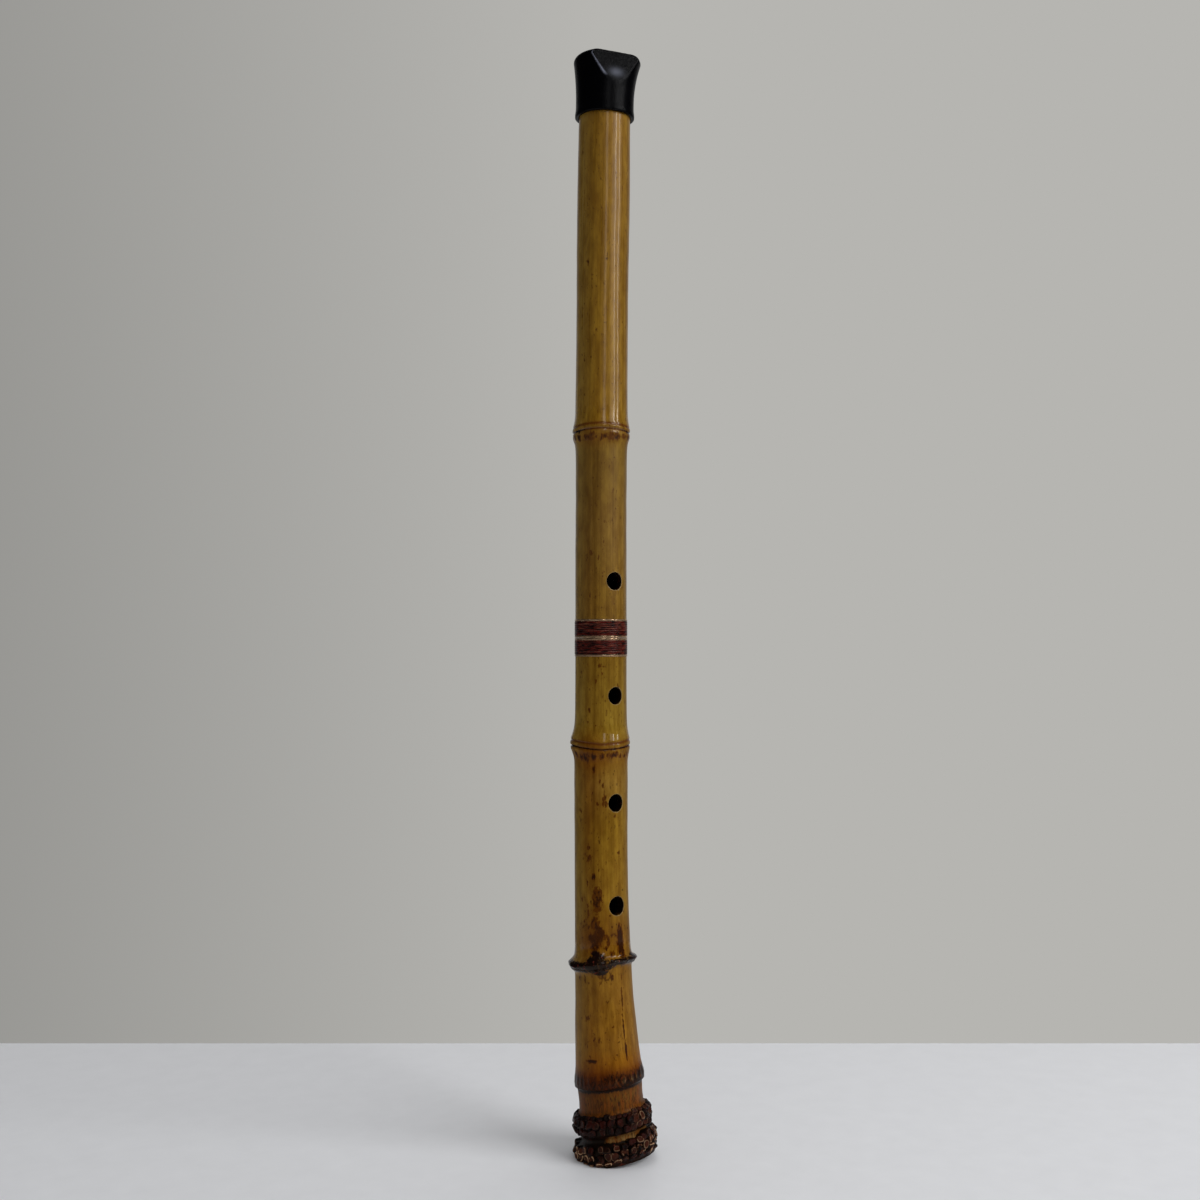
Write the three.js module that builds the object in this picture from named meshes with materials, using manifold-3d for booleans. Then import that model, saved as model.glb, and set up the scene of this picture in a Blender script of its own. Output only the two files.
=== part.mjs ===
// A shakuhachi: an end-blown bamboo flute in two sections, with a rubber cap on its mouth.
// Lengths are in millimetres and angles in degrees. The flute stands on its root end, +Z runs
// up the bore, and the four finger holes face -Y.
import * as THREE from "three";
import { mergeVertices } from "three/addons/utils/BufferGeometryUtils.js";
import Module from "manifold-3d";

// The culm
const fluteLength = 636;
const tubeRadius = 15;
// Radii at the mouth and of the culm's own hollow, as shares of the tube's
const mouthShare = 0.987;
const upperHollowShare = 0.753;
const lowerHollowShare = 0.707;
// Height of a place as a share of the flute's length, and radius there as a share of the tube's
const lowerOutlineShares = [
  [0.0833, 1.28],
  [0.0959, 1.237],
  [0.1179, 1.193],
  [0.1399, 1.133],
  [0.162, 1.107],
  [0.195, 1.073],
  [0.2311, 1.05],
  [0.2783, 1.033],
  [0.3553, 1.03],
  [0.3931, 1],
];
const upperOutlineShares = [
  [0.5079, 1],
  [0.599, 0.993],
  [0.6462, 1.007],
  [0.6918, 1.023],
  [0.739, 1.007],
  [0.783, 1],
  [0.8758, 1.013],
];

// The nodes: height as a share of the length, and swelling as a share of the ridge height
const lowerNodeShares = [
  [0.1748, 1.5],
  [0.3753, 1],
];
const upperNodeShares = [[0.6641, 1]];
const ridgeHeight = 1.85;
const ridgeWidth = 2.3;
const ridgeRowShares = [-2.2, -1.3, -0.6, 0, 0.6, 1.3, 2.2];

// The root end. Its radius is a share of the tube's, and its outline is given in shares of its
// height and of its radius.
const rootHeight = 44;
const rootRadiusShare = 1.693;
const rootTrim = 0.8;
const rootOutlineShares = [
  [0.1, 0.885],
  [0.2, 0.86],
  [0.25, 0.745],
  [0.32, 0.72],
  [0.38, 0.81],
  [0.49, 0.86],
  [0.6, 0.82],
  [0.66, 0.745],
  [0.76, 0.736],
  [0.885, 0.744],
  [0.93, 0.787],
  [1, 0.795],
];
// A ring of root stubs: height, zigzag and tip radius, again in shares of the root's sizes
const stubRingShares = [
  [0.14, 0.055, 1],
  [0.5, 0.06, 0.935],
];
const stubsPerRing = 22;
const stubRadius = 3;
const stubLength = 5;

// The bend: both ends lean to one side of the finger holes
const bendTurn = 34;
const mouthBow = 2.9;
const rootBow = 10;
const rootBowPower = 3;
const straightShare = 0.36;
const rootLeanShare = 1.75;

// The bore's radii and the holes' diameters as shares of the tube's, and their heights as
// shares of the length, from the root up
const mouthBoreShare = 0.667;
const jointBoreShare = 0.593;
const throatBoreShare = 0.547;
const bellBoreShare = 0.62;
const throatHeightShare = 0.19;
const fingerHoles = [
  { heightShare: 0.2272, widthShare: 0.373 },
  { heightShare: 0.3211, widthShare: 0.35 },
  { heightShare: 0.4203, widthShare: 0.34 },
  { heightShare: 0.5257, widthShare: 0.333 },
];
const thumbHole = { heightShare: 0.587, widthShare: 0.327 };

// The middle joint
const jointShare = 0.4728;
const partingGap = 0.1;
const tenonReachShare = 0.0393;
const tenonRootShare = 0.0393;
const tenonWallShare = 0.0933;
const tenonClearance = 0.15;
const tenonEndGap = 0.5;
const sleeveWallShare = 0.0667;
const faceRingHeight = 1.2;
const endRingHeight = 1.1;
const bindingWidth = 8.4;
const ringEdge = 0.25;
const seatGap = 0.3;

// The rattan bindings
const strandDiameter = 1.15;
const strandGap = 0.6;
const strandProud = 0.43;
const tuckBend = 0.9;
const tuckClearance = 0.5;
const stepsPerTurn = 24;
const strandSides = 6;
const bendSteps = 3;

// The blowing edge and its inlay
const edgeInset = 2.2;
const bevelDrop = 12;
const inlayTopWidth = 15;
const inlayFootWidth = 10;
const inlayDepth = 9.5;

// The rubber cap
const capDepth = 32;
const capWall = 1.8;
const capTopWall = 1.5;
const capClearance = 0.3;
const capFlare = 2.4;
const capFlareHeight = 25;
const capCorner = 4;
const capBeakShare = 1.1;
const capFacetShare = 0.767;
const capFacetDrop = 17.5;
const capTurn = -8;

// How finely round things are cut, and how far a cutting shape runs past what it cuts
const sides = 36;
const holeSides = 20;
const stubSides = 6;
const cornerSteps = 4;
const upperRowStep = 100;
const lowerRowStep = 36;
const overrun = 4;
const sliver = 0.005;

// Sizes and places worked out from those above
const mouthRadius = tubeRadius * mouthShare;
const upperHollowRadius = tubeRadius * upperHollowShare;
const lowerHollowRadius = tubeRadius * lowerHollowShare;
const rootRadius = tubeRadius * rootRadiusShare;
const mouthBoreRadius = tubeRadius * mouthBoreShare;
const jointBoreRadius = tubeRadius * jointBoreShare;
const jointHeight = fluteLength * jointShare;
const tenonReach = fluteLength * tenonReachShare;
const straightTop = jointHeight + fluteLength * tenonRootShare;
const straightFoot = fluteLength * straightShare;
const tenonRadius = jointBoreRadius + tubeRadius * tenonWallShare;
const sleeveBore = tenonRadius + tenonClearance;
const sleeveRadius = sleeveBore + tubeRadius * sleeveWallShare;
const socketRadius = sleeveRadius + seatGap;
const socketFloor = jointHeight - tenonReach - tenonEndGap;
const strandRadius = strandDiameter / 2;
const bandRadius = tubeRadius + strandProud;
const strandCircle = bandRadius - strandRadius;
const grooveRadius = strandCircle * Math.cos(Math.PI / stepsPerTurn) - strandRadius - seatGap;
const tuckEnd = strandCircle - tuckBend - strandDiameter;
const stackHeight = partingGap / 2 + faceRingHeight;
const grooveHeight = bindingWidth + endRingHeight;

const wasm = await Module();
wasm.setup();

const bendAngle = THREE.MathUtils.degToRad(bendTurn);
const bendSide = new THREE.Vector3(Math.sin(bendAngle), -Math.cos(bendAngle), 0);

// How far the centre line lies from the joint's axis at a height, and its slope there
function bowAt(height) {
  if (height > straightTop) {
    return mouthBow * ((height - straightTop) / (fluteLength - straightTop)) ** 2;
  }
  if (height < straightFoot) {
    return rootBow * ((straightFoot - height) / straightFoot) ** rootBowPower;
  }
  return 0;
}

function leanAt(height) {
  if (height > straightTop) {
    return (2 * mouthBow * (height - straightTop)) / (fluteLength - straightTop) ** 2;
  }
  if (height < straightFoot) {
    const along = (straightFoot - height) / straightFoot;
    return (-rootLeanShare * rootBowPower * rootBow * along ** (rootBowPower - 1)) / straightFoot;
  }
  return 0;
}

// Moves a point of the straight flute to its place on the bent one
function bendPoint(point) {
  const along = point.dot(bendSide);
  const height = point.z;
  point.addScaledVector(bendSide, bowAt(height));
  point.z -= leanAt(height) * along;
  return point;
}

function bend(geometry) {
  const places = geometry.getAttribute("position");
  const point = new THREE.Vector3();
  for (let i = 0; i < places.count; i++) {
    bendPoint(point.fromBufferAttribute(places, i));
    places.setXYZ(i, point.x, point.y, point.z);
  }
  return geometry;
}

// A round shape about the Z axis. The profile holds [radius, height] pairs, from the axis at
// the foot to the axis at the top, or round a closed section when it is a ring.
function turned(profile, ring = false) {
  const points = profile.map(([radius, height]) => new THREE.Vector2(radius, height));
  if (ring) {
    points.push(points[0].clone());
  }
  return new THREE.LatheGeometry(points, sides).rotateX(Math.PI / 2);
}

function solidOf(geometry) {
  const bare = geometry.clone();
  bare.deleteAttribute("normal");
  bare.deleteAttribute("uv");
  const merged = mergeVertices(bare);
  const vertProperties = new Float32Array(merged.getAttribute("position").array);
  const triVerts = new Uint32Array(merged.index.array);
  return new wasm.Manifold(new wasm.Mesh({ numProp: 3, vertProperties, triVerts }));
}

function cutAll(solid, cutters) {
  return cutters.reduce((rest, cutter) => rest.subtract(cutter), solid);
}

// A solid's faces as a geometry, without the slivers that cutting leaves
function geometryOf(solid) {
  const { vertProperties, triVerts } = solid.getMesh();
  const cut = new THREE.BufferGeometry();
  cut.setAttribute("position", new THREE.BufferAttribute(vertProperties, 3));
  cut.setIndex(new THREE.BufferAttribute(triVerts, 1));
  const geometry = mergeVertices(cut, sliver);
  const corners = geometry.index.array;
  const kept = [];
  for (let i = 0; i < corners.length; i += 3) {
    const [a, b, c] = corners.subarray(i, i + 3);
    if (a !== b && b !== c && c !== a) {
      kept.push(a, b, c);
    }
  }
  geometry.setIndex(kept);
  const flat = geometry.toNonIndexed();
  flat.computeVertexNormals();
  return flat;
}

// Row heights from one height to another, both ends included
function rowsBetween(low, high, step) {
  const count = Math.ceil((high - low) / step);
  return Array.from({ length: count + 1 }, (_, i) => low + ((high - low) * i) / count);
}

// A value read off a list of [place, value] pairs, straight between them
function readOff(pairs, place) {
  const next = pairs.findIndex((pair) => pair[0] >= place);
  if (next < 0) {
    return pairs[pairs.length - 1][1];
  }
  if (next === 0) {
    return pairs[0][1];
  }
  const [fromPlace, fromValue] = pairs[next - 1];
  const [toPlace, toValue] = pairs[next];
  return fromValue + ((toValue - fromValue) * (place - fromPlace)) / (toPlace - fromPlace);
}

// The round solid through [height, radius] pairs, bent with the culm
function culmSolid(pairs) {
  const profile = pairs.map(([height, radius]) => [radius, height]);
  profile.unshift([0, profile[0][1]]);
  profile.push([0, profile[profile.length - 1][1]]);
  return solidOf(bend(turned(profile)));
}

// Adds each node's ridge, and the rows that show it, to a list of [height, radius] pairs
function withNodes(pairs, nodeShares) {
  const nodes = nodeShares.map(([heightShare, swellShare]) => ({
    height: heightShare * fluteLength,
    swell: swellShare * ridgeHeight,
  }));
  const added = nodes.flatMap(({ height }) => ridgeRowShares.map((row) => height + row * ridgeWidth));
  const heights = [...pairs.map((pair) => pair[0]), ...added].sort((a, b) => a - b);
  return heights.map((height) => {
    const swell = nodes.reduce(
      (sum, node) => sum + node.swell * Math.exp(-(((height - node.height) / ridgeWidth) ** 2)),
      0,
    );
    return [height, readOff(pairs, height) + swell];
  });
}

const culmPairs = (shares) => shares.map(([place, share]) => [place * fluteLength, share * tubeRadius]);

// The outer faces of the two sections. A groove under the binding ends at the parting face.
const lowerOutline = withNodes(
  [
    [-rootTrim, rootRadius * rootOutlineShares[0][1]],
    ...rootOutlineShares.map(([place, share]) => [place * rootHeight, share * rootRadius]),
    ...culmPairs(lowerOutlineShares),
    [jointHeight - stackHeight - grooveHeight, tubeRadius],
  ],
  lowerNodeShares,
);
lowerOutline.push(
  [jointHeight - stackHeight - grooveHeight, grooveRadius],
  [jointHeight - stackHeight, grooveRadius],
);
const upperOutline = [
  [jointHeight + stackHeight, grooveRadius],
  [jointHeight + stackHeight + grooveHeight, grooveRadius],
  ...withNodes(
    [
      [jointHeight + stackHeight + grooveHeight, tubeRadius],
      ...culmPairs(upperOutlineShares),
      [fluteLength - capDepth, mouthRadius],
      [fluteLength, mouthRadius],
    ],
    upperNodeShares,
  ),
];

// The bore's radius at a height
const borePairs = [
  [0, tubeRadius * bellBoreShare],
  [fluteLength * throatHeightShare, tubeRadius * throatBoreShare],
  [socketFloor, jointBoreRadius],
  [straightTop, jointBoreRadius],
  [fluteLength, mouthBoreRadius],
];

// The hollow of each section, on the same rows as its lining and bore, so that they stay parallel
const lowerRows = [-rootTrim - overrun, ...rowsBetween(0, socketFloor, lowerRowStep)];
const upperRows = [...rowsBetween(straightTop, fluteLength, upperRowStep), fluteLength + overrun];
const onRows = (rows, radiusAt) => rows.map((height) => [height, radiusAt(height)]);
const boreRadiusAt = (height) => readOff(borePairs, height);

// A straight rod along Z
function rod(low, high, radius) {
  return solidOf(turned([[0, low], [radius, low], [radius, high], [0, high]]));
}

// A straight tube along Z
function sleeve(low, high, inner, outer) {
  return solidOf(turned([[inner, low], [outer, low], [outer, high], [inner, high]], true));
}

// The frame of the mouth: its origin on the bore's centre in the end face, Z out of the flute
const upwards = new THREE.Vector3(0, 0, 1);
const mouthAxis = upwards.clone().addScaledVector(bendSide, leanAt(fluteLength)).normalize();
const mouthTurn = new THREE.Quaternion().setFromUnitVectors(upwards, mouthAxis);
const mouthPlace = bendPoint(new THREE.Vector3(0, 0, fluteLength));
const mouthFrame = new THREE.Matrix4().compose(mouthPlace, mouthTurn, new THREE.Vector3(1, 1, 1));

// A round hole straight into the bore, from the front or from the back
function holeCutter({ heightShare, widthShare }, side) {
  const reach = tubeRadius + overrun;
  const radius = tubeRadius * widthShare;
  const cutter = new THREE.CylinderGeometry(radius, radius, reach, holeSides);
  const centre = bendPoint(new THREE.Vector3(0, 0, heightShare * fluteLength));
  cutter.translate(0, (side * reach) / 2, 0).translate(centre.x, centre.y, centre.z);
  return solidOf(cutter);
}

// One carved root stub, pointing out from the culm
function stubSolid(height, angle, tipRadius) {
  const stub = new THREE.CylinderGeometry(stubRadius, stubRadius, stubLength, stubSides);
  stub.rotateZ(-Math.PI / 2).translate(tipRadius - stubLength / 2, 0, 0).rotateZ(angle);
  const foot = new THREE.Vector3(Math.cos(angle), Math.sin(angle), 0).multiplyScalar(tipRadius);
  foot.z = height;
  const bent = bendPoint(foot.clone());
  return solidOf(stub.translate(bent.x - foot.x, bent.y - foot.y, bent.z));
}

function rootStubs() {
  return stubRingShares.flatMap(([heightShare, zigzagShare, tipShare], ring) =>
    Array.from({ length: stubsPerRing }, (_, i) => {
      const zigzag = i % 2 ? zigzagShare : -zigzagShare;
      const angle = (2 * Math.PI * (i + ring / 2)) / stubsPerRing;
      return stubSolid((heightShare + zigzag) * rootHeight, angle, tipShare * rootRadius);
    }),
  );
}

// Everything under the level that the flute stands on
function levelCutter() {
  const width = 4 * rootRadius;
  const block = new THREE.BoxGeometry(width, width, rootHeight).translate(0, 0, -rootHeight / 2);
  return solidOf(block);
}

// The small hole in the groove where a strand's end is tucked in
function tuckCutter(angle, height) {
  const floor = tuckEnd - seatGap;
  const reach = bandRadius - floor;
  const width = strandRadius + tuckClearance;
  const cutter = new THREE.CylinderGeometry(width, width, reach, stubSides * 2);
  cutter.rotateZ(-Math.PI / 2).translate(floor + reach / 2, 0, 0).rotateZ(angle);
  return solidOf(cutter.translate(0, 0, height));
}

// A binding: one strand wound upwards, its ends bent inwards and tucked into the bamboo
function bindingPlan(low) {
  const foot = low + seatGap + strandRadius;
  const rise = bindingWidth - 2 * (seatGap + strandRadius);
  const turns = rise / (strandDiameter + strandGap);
  return { foot, rise, turns, startAngle: Math.PI / 2, endAngle: Math.PI / 2 + 2 * Math.PI * turns };
}

function tuckPoints(angle, height, side) {
  const out = new THREE.Vector3(Math.cos(angle), Math.sin(angle), 0);
  const on = new THREE.Vector3(-Math.sin(angle), Math.cos(angle), 0).multiplyScalar(side);
  const at = (radius, sideways) =>
    out.clone().multiplyScalar(radius).addScaledVector(on, sideways).setZ(height);
  const arc = Array.from({ length: bendSteps }, (_, i) => {
    const turn = (i * Math.PI) / 2 / bendSteps;
    return at(strandCircle - tuckBend * (1 - Math.sin(turn)), tuckBend * (1 - Math.cos(turn)));
  });
  return [at(tuckEnd, 0), ...arc];
}

function strandPoints({ foot, rise, startAngle, endAngle }) {
  const bendShift = tuckBend / strandCircle;
  const first = startAngle + bendShift;
  const last = endAngle - bendShift;
  const steps = Math.round(((last - first) / 2 / Math.PI) * stepsPerTurn);
  const turnsOfStrand = Array.from({ length: steps + 1 }, (_, i) => {
    const angle = first + ((last - first) * i) / steps;
    const height = foot + (rise * i) / steps;
    return new THREE.Vector3(Math.cos(angle), Math.sin(angle), 0).multiplyScalar(strandCircle).setZ(height);
  });
  return [
    ...tuckPoints(startAngle, foot, 1),
    ...turnsOfStrand,
    ...tuckPoints(endAngle, foot + rise, -1).reverse(),
  ];
}

function strandGeometry(points) {
  const places = [];
  points.forEach((point, i) => {
    const before = points[Math.max(i - 1, 0)];
    const after = points[Math.min(i + 1, points.length - 1)];
    const ahead = after.clone().sub(before).normalize();
    const across = ahead.clone().cross(upwards).normalize();
    const over = across.clone().cross(ahead);
    for (let side = 0; side < strandSides; side++) {
      const angle = (2 * Math.PI * side) / strandSides;
      const corner = point.clone();
      corner.addScaledVector(across, strandRadius * Math.cos(angle));
      corner.addScaledVector(over, strandRadius * Math.sin(angle));
      places.push(corner);
    }
  });
  const index = [];
  for (let row = 0; row + 1 < points.length; row++) {
    for (let side = 0; side < strandSides; side++) {
      const a = row * strandSides + side;
      const b = row * strandSides + ((side + 1) % strandSides);
      index.push(a, a + strandSides, b, b, a + strandSides, b + strandSides);
    }
  }
  const end = (points.length - 1) * strandSides;
  for (let side = 1; side + 1 < strandSides; side++) {
    index.push(0, side, side + 1, end, end + side + 1, end + side);
  }
  const geometry = new THREE.BufferGeometry().setFromPoints(places);
  geometry.setIndex(index);
  return geometry;
}

// The least gap between a strand's turns, measured between the corners of its sections
function leastGap(geometry) {
  const places = geometry.getAttribute("position");
  const corners = Array.from({ length: places.count }, (_, i) =>
    new THREE.Vector3().fromBufferAttribute(places, i),
  );
  const apart = (stepsPerTurn / 2) * strandSides;
  let least = Infinity;
  for (let i = 0; i < corners.length; i++) {
    for (let j = i + apart; j < corners.length; j++) {
      least = Math.min(least, corners[i].distanceTo(corners[j]));
    }
  }
  return least;
}

// A metal ring with softened outer edges
function hoop(low, height, inner) {
  const high = low + height;
  return solidOf(
    turned(
      [
        [inner, low],
        [bandRadius - ringEdge, low],
        [bandRadius, low + ringEdge],
        [bandRadius, high - ringEdge],
        [bandRadius - ringEdge, high],
        [inner, high],
      ],
      true,
    ),
  );
}

// A block in front of a slanting plane, in the mouth's frame. The plane leaves the front wall at
// a drop below the top and meets the top at a reach in front of the bore's centre.
function slantBlock(reach, wall, top, drop, gap) {
  const size = 2 * (rootRadius + drop);
  const angle = Math.atan((wall - reach) / drop);
  const block = new THREE.BoxGeometry(size, size, size).translate(0, -size / 2 - gap, 0);
  return block.rotateX(-angle).translate(0, -reach, top);
}

// The cut that makes the blowing edge
function bevelBlock(gap) {
  return slantBlock(mouthBoreRadius - edgeInset, mouthRadius, 0, bevelDrop, gap);
}

// The inlay's wedge, grown by a gap where it is used as a cutter
function inlayPrism(gap) {
  const top = inlayTopWidth / 2 + gap;
  const foot = inlayFootWidth / 2 + gap;
  const shape = new THREE.Shape();
  shape.moveTo(-foot, -inlayDepth - gap);
  shape.lineTo(foot, -inlayDepth - gap);
  shape.lineTo(top, overrun);
  shape.lineTo(-top, overrun);
  shape.closePath();
  const prism = new THREE.ExtrudeGeometry(shape, { depth: mouthRadius + overrun, bevelEnabled: false });
  return solidOf(prism.rotateX(Math.PI / 2).applyMatrix4(mouthFrame));
}

// The cap in the mouth's frame: its top swells out, most towards the blowing edge, and a flat
// facet is cut across the swelling there
function capSolid() {
  const cavityRadius = mouthRadius + capClearance;
  const outer = cavityRadius + capWall;
  const cavityTop = seatGap;
  const top = cavityTop + capTopWall;
  const flareFoot = top - capFlareHeight;
  const flareTop = top - capCorner;
  const shareUp = (height) => (height - flareFoot) / (flareTop - flareFoot);
  const swellAt = (height) => THREE.MathUtils.clamp(shareUp(height), 0, 1) ** 2;
  const profile = [
    [0, -capDepth],
    [outer, -capDepth],
    [outer, flareFoot],
  ];
  const rows = rowsBetween(flareFoot, flareTop, (flareTop - flareFoot) / cornerSteps).slice(1);
  rows.forEach((height) => profile.push([outer + capFlare * swellAt(height), height]));
  for (let step = 1; step <= cornerSteps; step++) {
    const turn = (step * Math.PI) / 2 / cornerSteps;
    const inward = capCorner * (1 - Math.cos(turn));
    profile.push([outer + capFlare - inward, flareTop + capCorner * Math.sin(turn)]);
  }
  profile.push([0, top]);
  const body = turned(profile);
  const places = body.getAttribute("position");
  for (let i = 0; i < places.count; i++) {
    const swell = swellAt(places.getZ(i));
    const radius = Math.hypot(places.getX(i), places.getY(i));
    const front = radius > 0 ? -places.getY(i) / radius : 0;
    const grown = 1 + (capBeakShare * capFlare * swell * front) / (outer + capFlare);
    places.setXYZ(i, places.getX(i) * grown, places.getY(i) * grown, places.getZ(i));
  }
  const turn = THREE.MathUtils.degToRad(capTurn);
  body.rotateZ(turn);
  const facet = slantBlock(tubeRadius * capFacetShare, outer, top, capFacetDrop, 0).rotateZ(turn);
  const cavity = turned([
    [0, -capDepth - overrun],
    [cavityRadius, -capDepth - overrun],
    [cavityRadius, cavityTop],
    [0, cavityTop],
  ]);
  const room = solidOf(cavity).subtract(solidOf(bevelBlock(capClearance)));
  return cutAll(solidOf(body), [solidOf(facet), room]);
}

function material(colour, roughness, metalness) {
  return new THREE.MeshStandardMaterial({ color: colour, roughness, metalness });
}

const rootBamboo = material(0xb08549, 0.5, 0);
const tubeBamboo = material(0xa27f4c, 0.5, 0);
const lacquer = material(0x3a0f0a, 0.25, 0);
const rattan = material(0x451410, 0.35, 0);
const silver = material(0xc9c5ba, 0.25, 1);
const boxwood = material(0x8f6a3c, 0.55, 0);
const horn = material(0x1d1712, 0.3, 0);
const rubber = material(0x131314, 0.3, 0);

const fingerCutters = fingerHoles.map((hole) => ({ hole, cutter: holeCutter(hole, -1) }));
const thumbCutter = holeCutter(thumbHole, 1);
const isUpper = ({ hole }) => hole.heightShare > jointShare;
const lowerHoles = fingerCutters.filter((entry) => !isUpper(entry)).map((entry) => entry.cutter);
const upperHoles = [...fingerCutters.filter(isUpper).map((entry) => entry.cutter), thumbCutter];

// The lower section
const lowerGroove = jointHeight - stackHeight - grooveHeight;
const lowerPlan = bindingPlan(lowerGroove + endRingHeight);
const lowerTucks = [
  tuckCutter(lowerPlan.startAngle, lowerPlan.foot),
  tuckCutter(lowerPlan.endAngle, lowerPlan.foot + lowerPlan.rise),
];
const level = levelCutter();
const lowerHollow = culmSolid(onRows(lowerRows, () => lowerHollowRadius));
const lowerBore = culmSolid(onRows(lowerRows, boreRadiusAt));
const socket = rod(socketFloor, jointHeight + overrun, socketRadius);
const lowerBlank = rootStubs().reduce((sum, stub) => sum.add(stub), culmSolid(lowerOutline));
const lowerBamboo = cutAll(lowerBlank, [level, lowerHollow, socket, ...lowerHoles, ...lowerTucks]);
const lowerCore = culmSolid(
  onRows([-rootTrim, ...lowerRows.slice(1)], () => lowerHollowRadius - seatGap),
);
const lowerLining = cutAll(lowerCore, [level, lowerBore, ...lowerHoles]);
const socketSleeve = sleeve(socketFloor, jointHeight - partingGap / 2, sleeveBore, sleeveRadius);
const lowerFaceRing = hoop(jointHeight - stackHeight, faceRingHeight, socketRadius);
const lowerEndRing = hoop(lowerGroove, endRingHeight, grooveRadius + seatGap);
const lowerStrand = strandGeometry(strandPoints(lowerPlan));

// The upper section
const upperGroove = jointHeight + stackHeight;
const upperPlan = bindingPlan(upperGroove);
const upperTucks = [
  tuckCutter(upperPlan.startAngle, upperPlan.foot),
  tuckCutter(upperPlan.endAngle, upperPlan.foot + upperPlan.rise),
];
const bevel = solidOf(bevelBlock(0).applyMatrix4(mouthFrame));
const inlayCutter = inlayPrism(seatGap);
const upperBlank = culmSolid(upperOutline);
const upperHollow = culmSolid(onRows(upperRows, () => upperHollowRadius));
const upperBore = culmSolid(onRows(upperRows, boreRadiusAt));
const tenonSeat = rod(jointHeight - overrun, straightTop + overrun, tenonRadius + seatGap);
const upperCutters = [upperHollow, tenonSeat, bevel, inlayCutter, ...upperHoles, ...upperTucks];
const upperBamboo = cutAll(upperBlank, upperCutters);
const upperCore = culmSolid(
  onRows(upperRows.slice(0, -1), () => upperHollowRadius - seatGap),
);
const upperLining = cutAll(upperCore, [upperBore, bevel, inlayCutter, ...upperHoles]);
const inlay = cutAll(upperBlank.intersect(inlayPrism(0)), [upperBore, bevel]);
const tenon = sleeve(jointHeight - tenonReach, straightTop, jointBoreRadius, tenonRadius);
const upperFaceRing = hoop(jointHeight + partingGap / 2, faceRingHeight, tenonRadius + seatGap);
const upperEndRing = hoop(upperGroove + bindingWidth, endRingHeight, grooveRadius + seatGap);
const upperStrand = strandGeometry(strandPoints(upperPlan));

console.log("least gap of the lower binding to itself", leastGap(lowerStrand).toFixed(2), "mm");
console.log("least gap of the upper binding to itself", leastGap(upperStrand).toFixed(2), "mm");

function piece(name, geometry, finish) {
  const mesh = new THREE.Mesh(geometry, finish);
  mesh.name = name;
  return mesh;
}

const lowerSection = new THREE.Group();
lowerSection.add(
  piece("lower_bamboo", geometryOf(lowerBamboo), rootBamboo),
  piece("lower_bore_lining", geometryOf(lowerLining), lacquer),
  piece("joint_socket", geometryOf(socketSleeve), boxwood),
  piece("lower_face_ring", geometryOf(lowerFaceRing), silver),
  piece("lower_end_ring", geometryOf(lowerEndRing), silver),
  piece("lower_binding", lowerStrand, rattan),
);

const upperSection = new THREE.Group();
upperSection.add(
  piece("upper_bamboo", geometryOf(upperBamboo), tubeBamboo),
  piece("upper_bore_lining", geometryOf(upperLining), lacquer),
  piece("mouthpiece_inlay", geometryOf(inlay), horn),
  piece("joint_tenon", geometryOf(tenon), boxwood),
  piece("upper_face_ring", geometryOf(upperFaceRing), silver),
  piece("upper_end_ring", geometryOf(upperEndRing), silver),
  piece("upper_binding", upperStrand, rattan),
);

const mouthCap = piece("mouth_cap", geometryOf(capSolid()), rubber);
mouthCap.position.copy(mouthPlace);
mouthCap.quaternion.copy(mouthTurn);

// The flute's own origin: under the middle of its box, on the level that it stands on
const flute = new THREE.Group();
flute.add(lowerSection, upperSection, mouthCap);
flute.updateMatrixWorld(true);
const extent = new THREE.Box3().setFromObject(flute, true);
const middle = extent.getCenter(new THREE.Vector3());
flute.position.set(-middle.x, -middle.y, -extent.min.z);

export default flute;
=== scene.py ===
# The visual model of a shakuhachi that stands on its root end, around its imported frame.
# Shapes are worked out in millimetres on a straight culm, then bent and scaled to metres.
import random
from math import atan, atan2, cos, hypot, pi, radians, sin, sqrt

import bmesh
import bpy
import numpy as np
from mathutils import Matrix, Vector


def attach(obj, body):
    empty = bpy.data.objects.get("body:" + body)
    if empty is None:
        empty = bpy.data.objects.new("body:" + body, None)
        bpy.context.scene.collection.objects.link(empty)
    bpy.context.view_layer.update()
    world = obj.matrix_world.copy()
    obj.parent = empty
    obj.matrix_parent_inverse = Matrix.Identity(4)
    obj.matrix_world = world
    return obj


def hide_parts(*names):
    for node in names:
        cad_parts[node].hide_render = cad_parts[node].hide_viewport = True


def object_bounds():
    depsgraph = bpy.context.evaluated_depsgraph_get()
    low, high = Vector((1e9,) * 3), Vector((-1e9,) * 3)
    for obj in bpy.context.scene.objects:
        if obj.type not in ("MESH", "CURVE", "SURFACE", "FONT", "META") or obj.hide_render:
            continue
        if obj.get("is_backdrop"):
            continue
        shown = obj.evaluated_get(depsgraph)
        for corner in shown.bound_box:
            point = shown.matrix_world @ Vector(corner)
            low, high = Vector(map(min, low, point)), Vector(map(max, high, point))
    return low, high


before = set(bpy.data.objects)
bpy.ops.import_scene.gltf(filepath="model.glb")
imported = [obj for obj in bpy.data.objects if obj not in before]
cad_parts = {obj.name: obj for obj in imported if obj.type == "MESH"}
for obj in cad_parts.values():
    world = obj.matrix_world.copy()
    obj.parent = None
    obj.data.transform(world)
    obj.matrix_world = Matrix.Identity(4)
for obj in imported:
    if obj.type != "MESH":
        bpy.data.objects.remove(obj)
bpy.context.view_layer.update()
scene = bpy.context.scene
print("frame loaded")

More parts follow.
